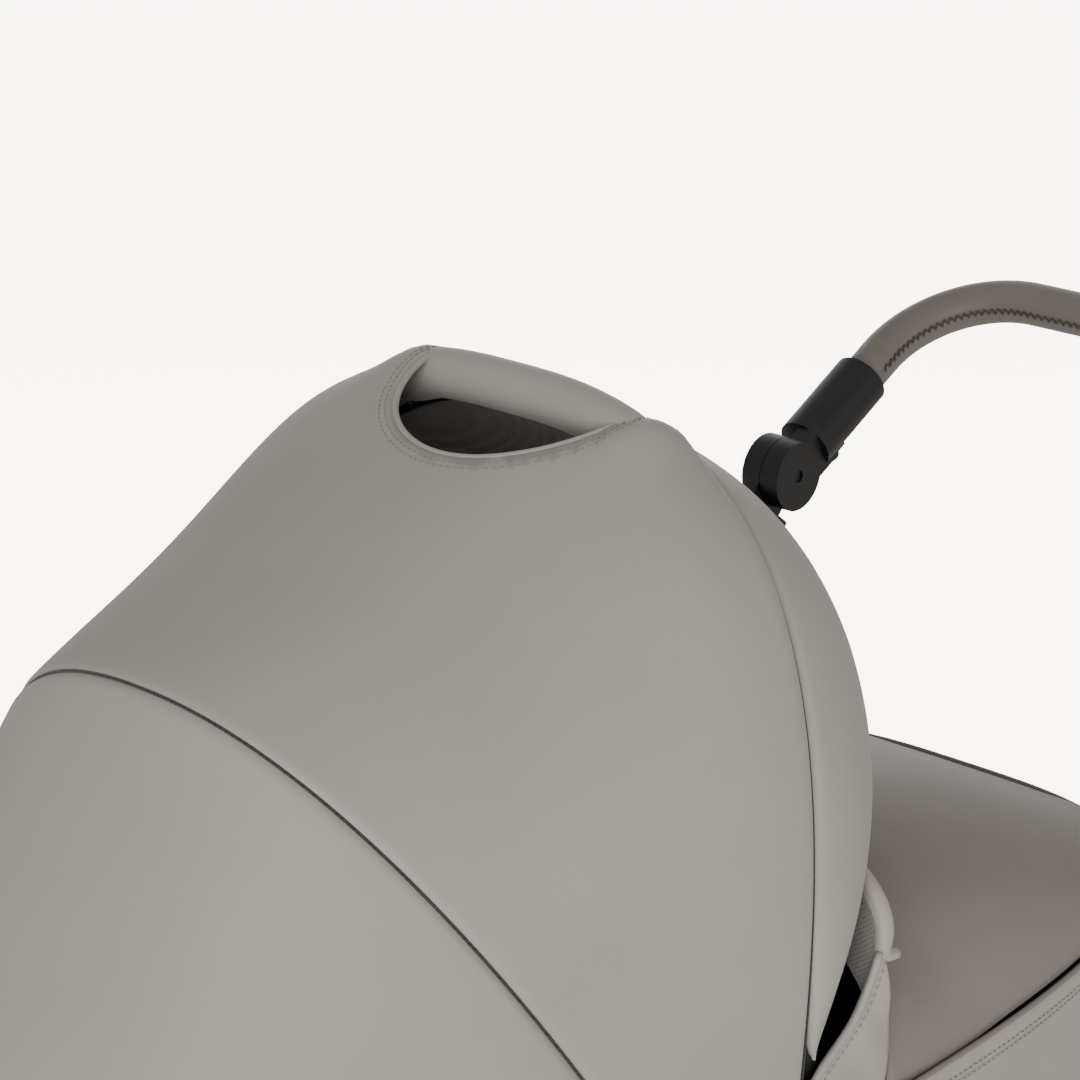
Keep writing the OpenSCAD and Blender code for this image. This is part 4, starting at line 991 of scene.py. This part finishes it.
def tread(name, centre, radius, width, count, body):
    """Tread lugs round a tyre, placed on a ring by Geometry Nodes."""
    tree, given, result = nodes_tree("tread_lugs", {"Tyre Radius": radius, "Row Offset": width * 0.2,
                                                    "Lug Length": width * 0.27, "Lugs": count})
    both_rows = add(tree, "GeometryNodeJoinGeometry")
    for side_way in (1, -1):
        ring = add(tree, "GeometryNodeCurvePrimitiveCircle", links={"Resolution": given.outputs["Lugs"],
                                                                    "Radius": given.outputs["Tyre Radius"]})
        spots = add(tree, "GeometryNodeCurveToPoints", links={"Curve": ring.outputs["Curve"]}, mode="EVALUATED")
        lug_size = add(tree, "ShaderNodeCombineXYZ", {"X": 0.0022, "Y": 0.0035}, {"Z": given.outputs["Lug Length"]})
        lug = add(tree, "GeometryNodeMeshCube", {"Vertices X": 2, "Vertices Y": 2, "Vertices Z": 2},
                  {"Size": lug_size.outputs["Vector"]})
        slanted = add(tree, "GeometryNodeTransform", {"Rotation": (0.42 * side_way, 0, 0)},
                      {"Geometry": lug.outputs["Mesh"]})
        facing = add(tree, "FunctionNodeAlignEulerToVector", links={"Vector": add(
            tree, "GeometryNodeInputPosition").outputs["Position"]}, axis="X", pivot_axis="Z")
        laid = add(tree, "GeometryNodeInstanceOnPoints", links={
            "Points": spots.outputs["Points"], "Instance": slanted.outputs["Geometry"],
            "Rotation": facing.outputs["Rotation"]})
        shift = add(tree, "ShaderNodeMath", {1: side_way}, {0: given.outputs["Row Offset"]}, operation="MULTIPLY")
        along = add(tree, "ShaderNodeCombineXYZ", links={"Z": shift.outputs["Value"]})
        moved = add(tree, "GeometryNodeTransform", {"Rotation": (0, 0, 0.5 * side_way * math.pi / count)},
                    {"Geometry": laid.outputs["Instances"], "Translation": along.outputs["Vector"]})
        tree.links.new(moved.outputs["Geometry"], both_rows.inputs["Geometry"])
    o = lay_nodes(name, [(0, 0, 0)], [], tree, both_rows.outputs["Geometry"], rubber, result)
    # The ring is made round Z; the wheel turns about X.
    o.data.transform(Matrix.Translation(centre) @ Matrix.Rotation(math.radians(90), 4, "Y"))
    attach(o, body)


lug_height = 0.0008
for side_name in ("left", "right"):
    for end, lugs in (("front", 56), ("rear", 72)):
        low, high = (Vector(c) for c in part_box(f"{end}_tyre_{side_name}"))
        tread(f"{end}_tread_{side_name}", (low + high) / 2, (high.z - low.z) / 2 - lug_height, high.x - low.x, lugs,
              f"{end}_wheel_{side_name}")


# ---- Basket ----
# Dark woven polyester, dull and strong, sewn round the wire hoop. Its walls lean in to a rounded floor, and its
# top edge is bound.

basket_cloth = woven("basket_woven_polyester", "3B3A3B", "1F1E1F", thread=1.1)
low, high = (Vector(c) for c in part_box("basket"))
mid = (low + high) / 2
half_x, half_y = (high.x - low.x) / 2 - 0.0006, (high.y - low.y) / 2 - 0.0006
basket_rings = []
n = 144
for z, drop in ((high.z, 0.0), (high.z - 0.008, 0.0), (high.z - 0.03, 0.0025), (high.z - 0.06, 0.006),
                (high.z - 0.09, 0.011), (high.z - 0.115, 0.0165), (low.z + 0.022, 0.020), (low.z + 0.009, 0.0245),
                (low.z + 0.003, 0.031), (low.z + 0.001, 0.042), (low.z + 0.0006, 0.060), (low.z + 0.0004, 0.095),
                (low.z + 0.0004, 0.135)):
    ring = []
    for k in range(n):
        a = 2 * math.pi * k / n
        ring.append(Vector((mid.x + (half_x - drop) * power(math.cos(a), 5),
                            mid.y + (half_y - drop) * power(math.sin(a), 5), z)))
    basket_rings.append(ring)
basket_faces = strip_faces(len(basket_rings), n)
basket_faces.append(tuple((len(basket_rings) - 1) * n + k for k in range(n)))
basket_bag = put("basket_bag", [p for r in basket_rings for p in r], basket_faces, basket_cloth, "chassis")
side_face = max(basket_bag.data.polygons, key=lambda f: f.center.x)
if side_face.normal.x < 0:
    basket_bag.data.flip_normals()
give_wall(basket_bag, 0.003)
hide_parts("basket")
tube("basket_bound_edge", [p + Vector((0, 0, -0.002)) for p in basket_rings[0]], 0.0028, basket_cloth, "chassis", 8,
     True)
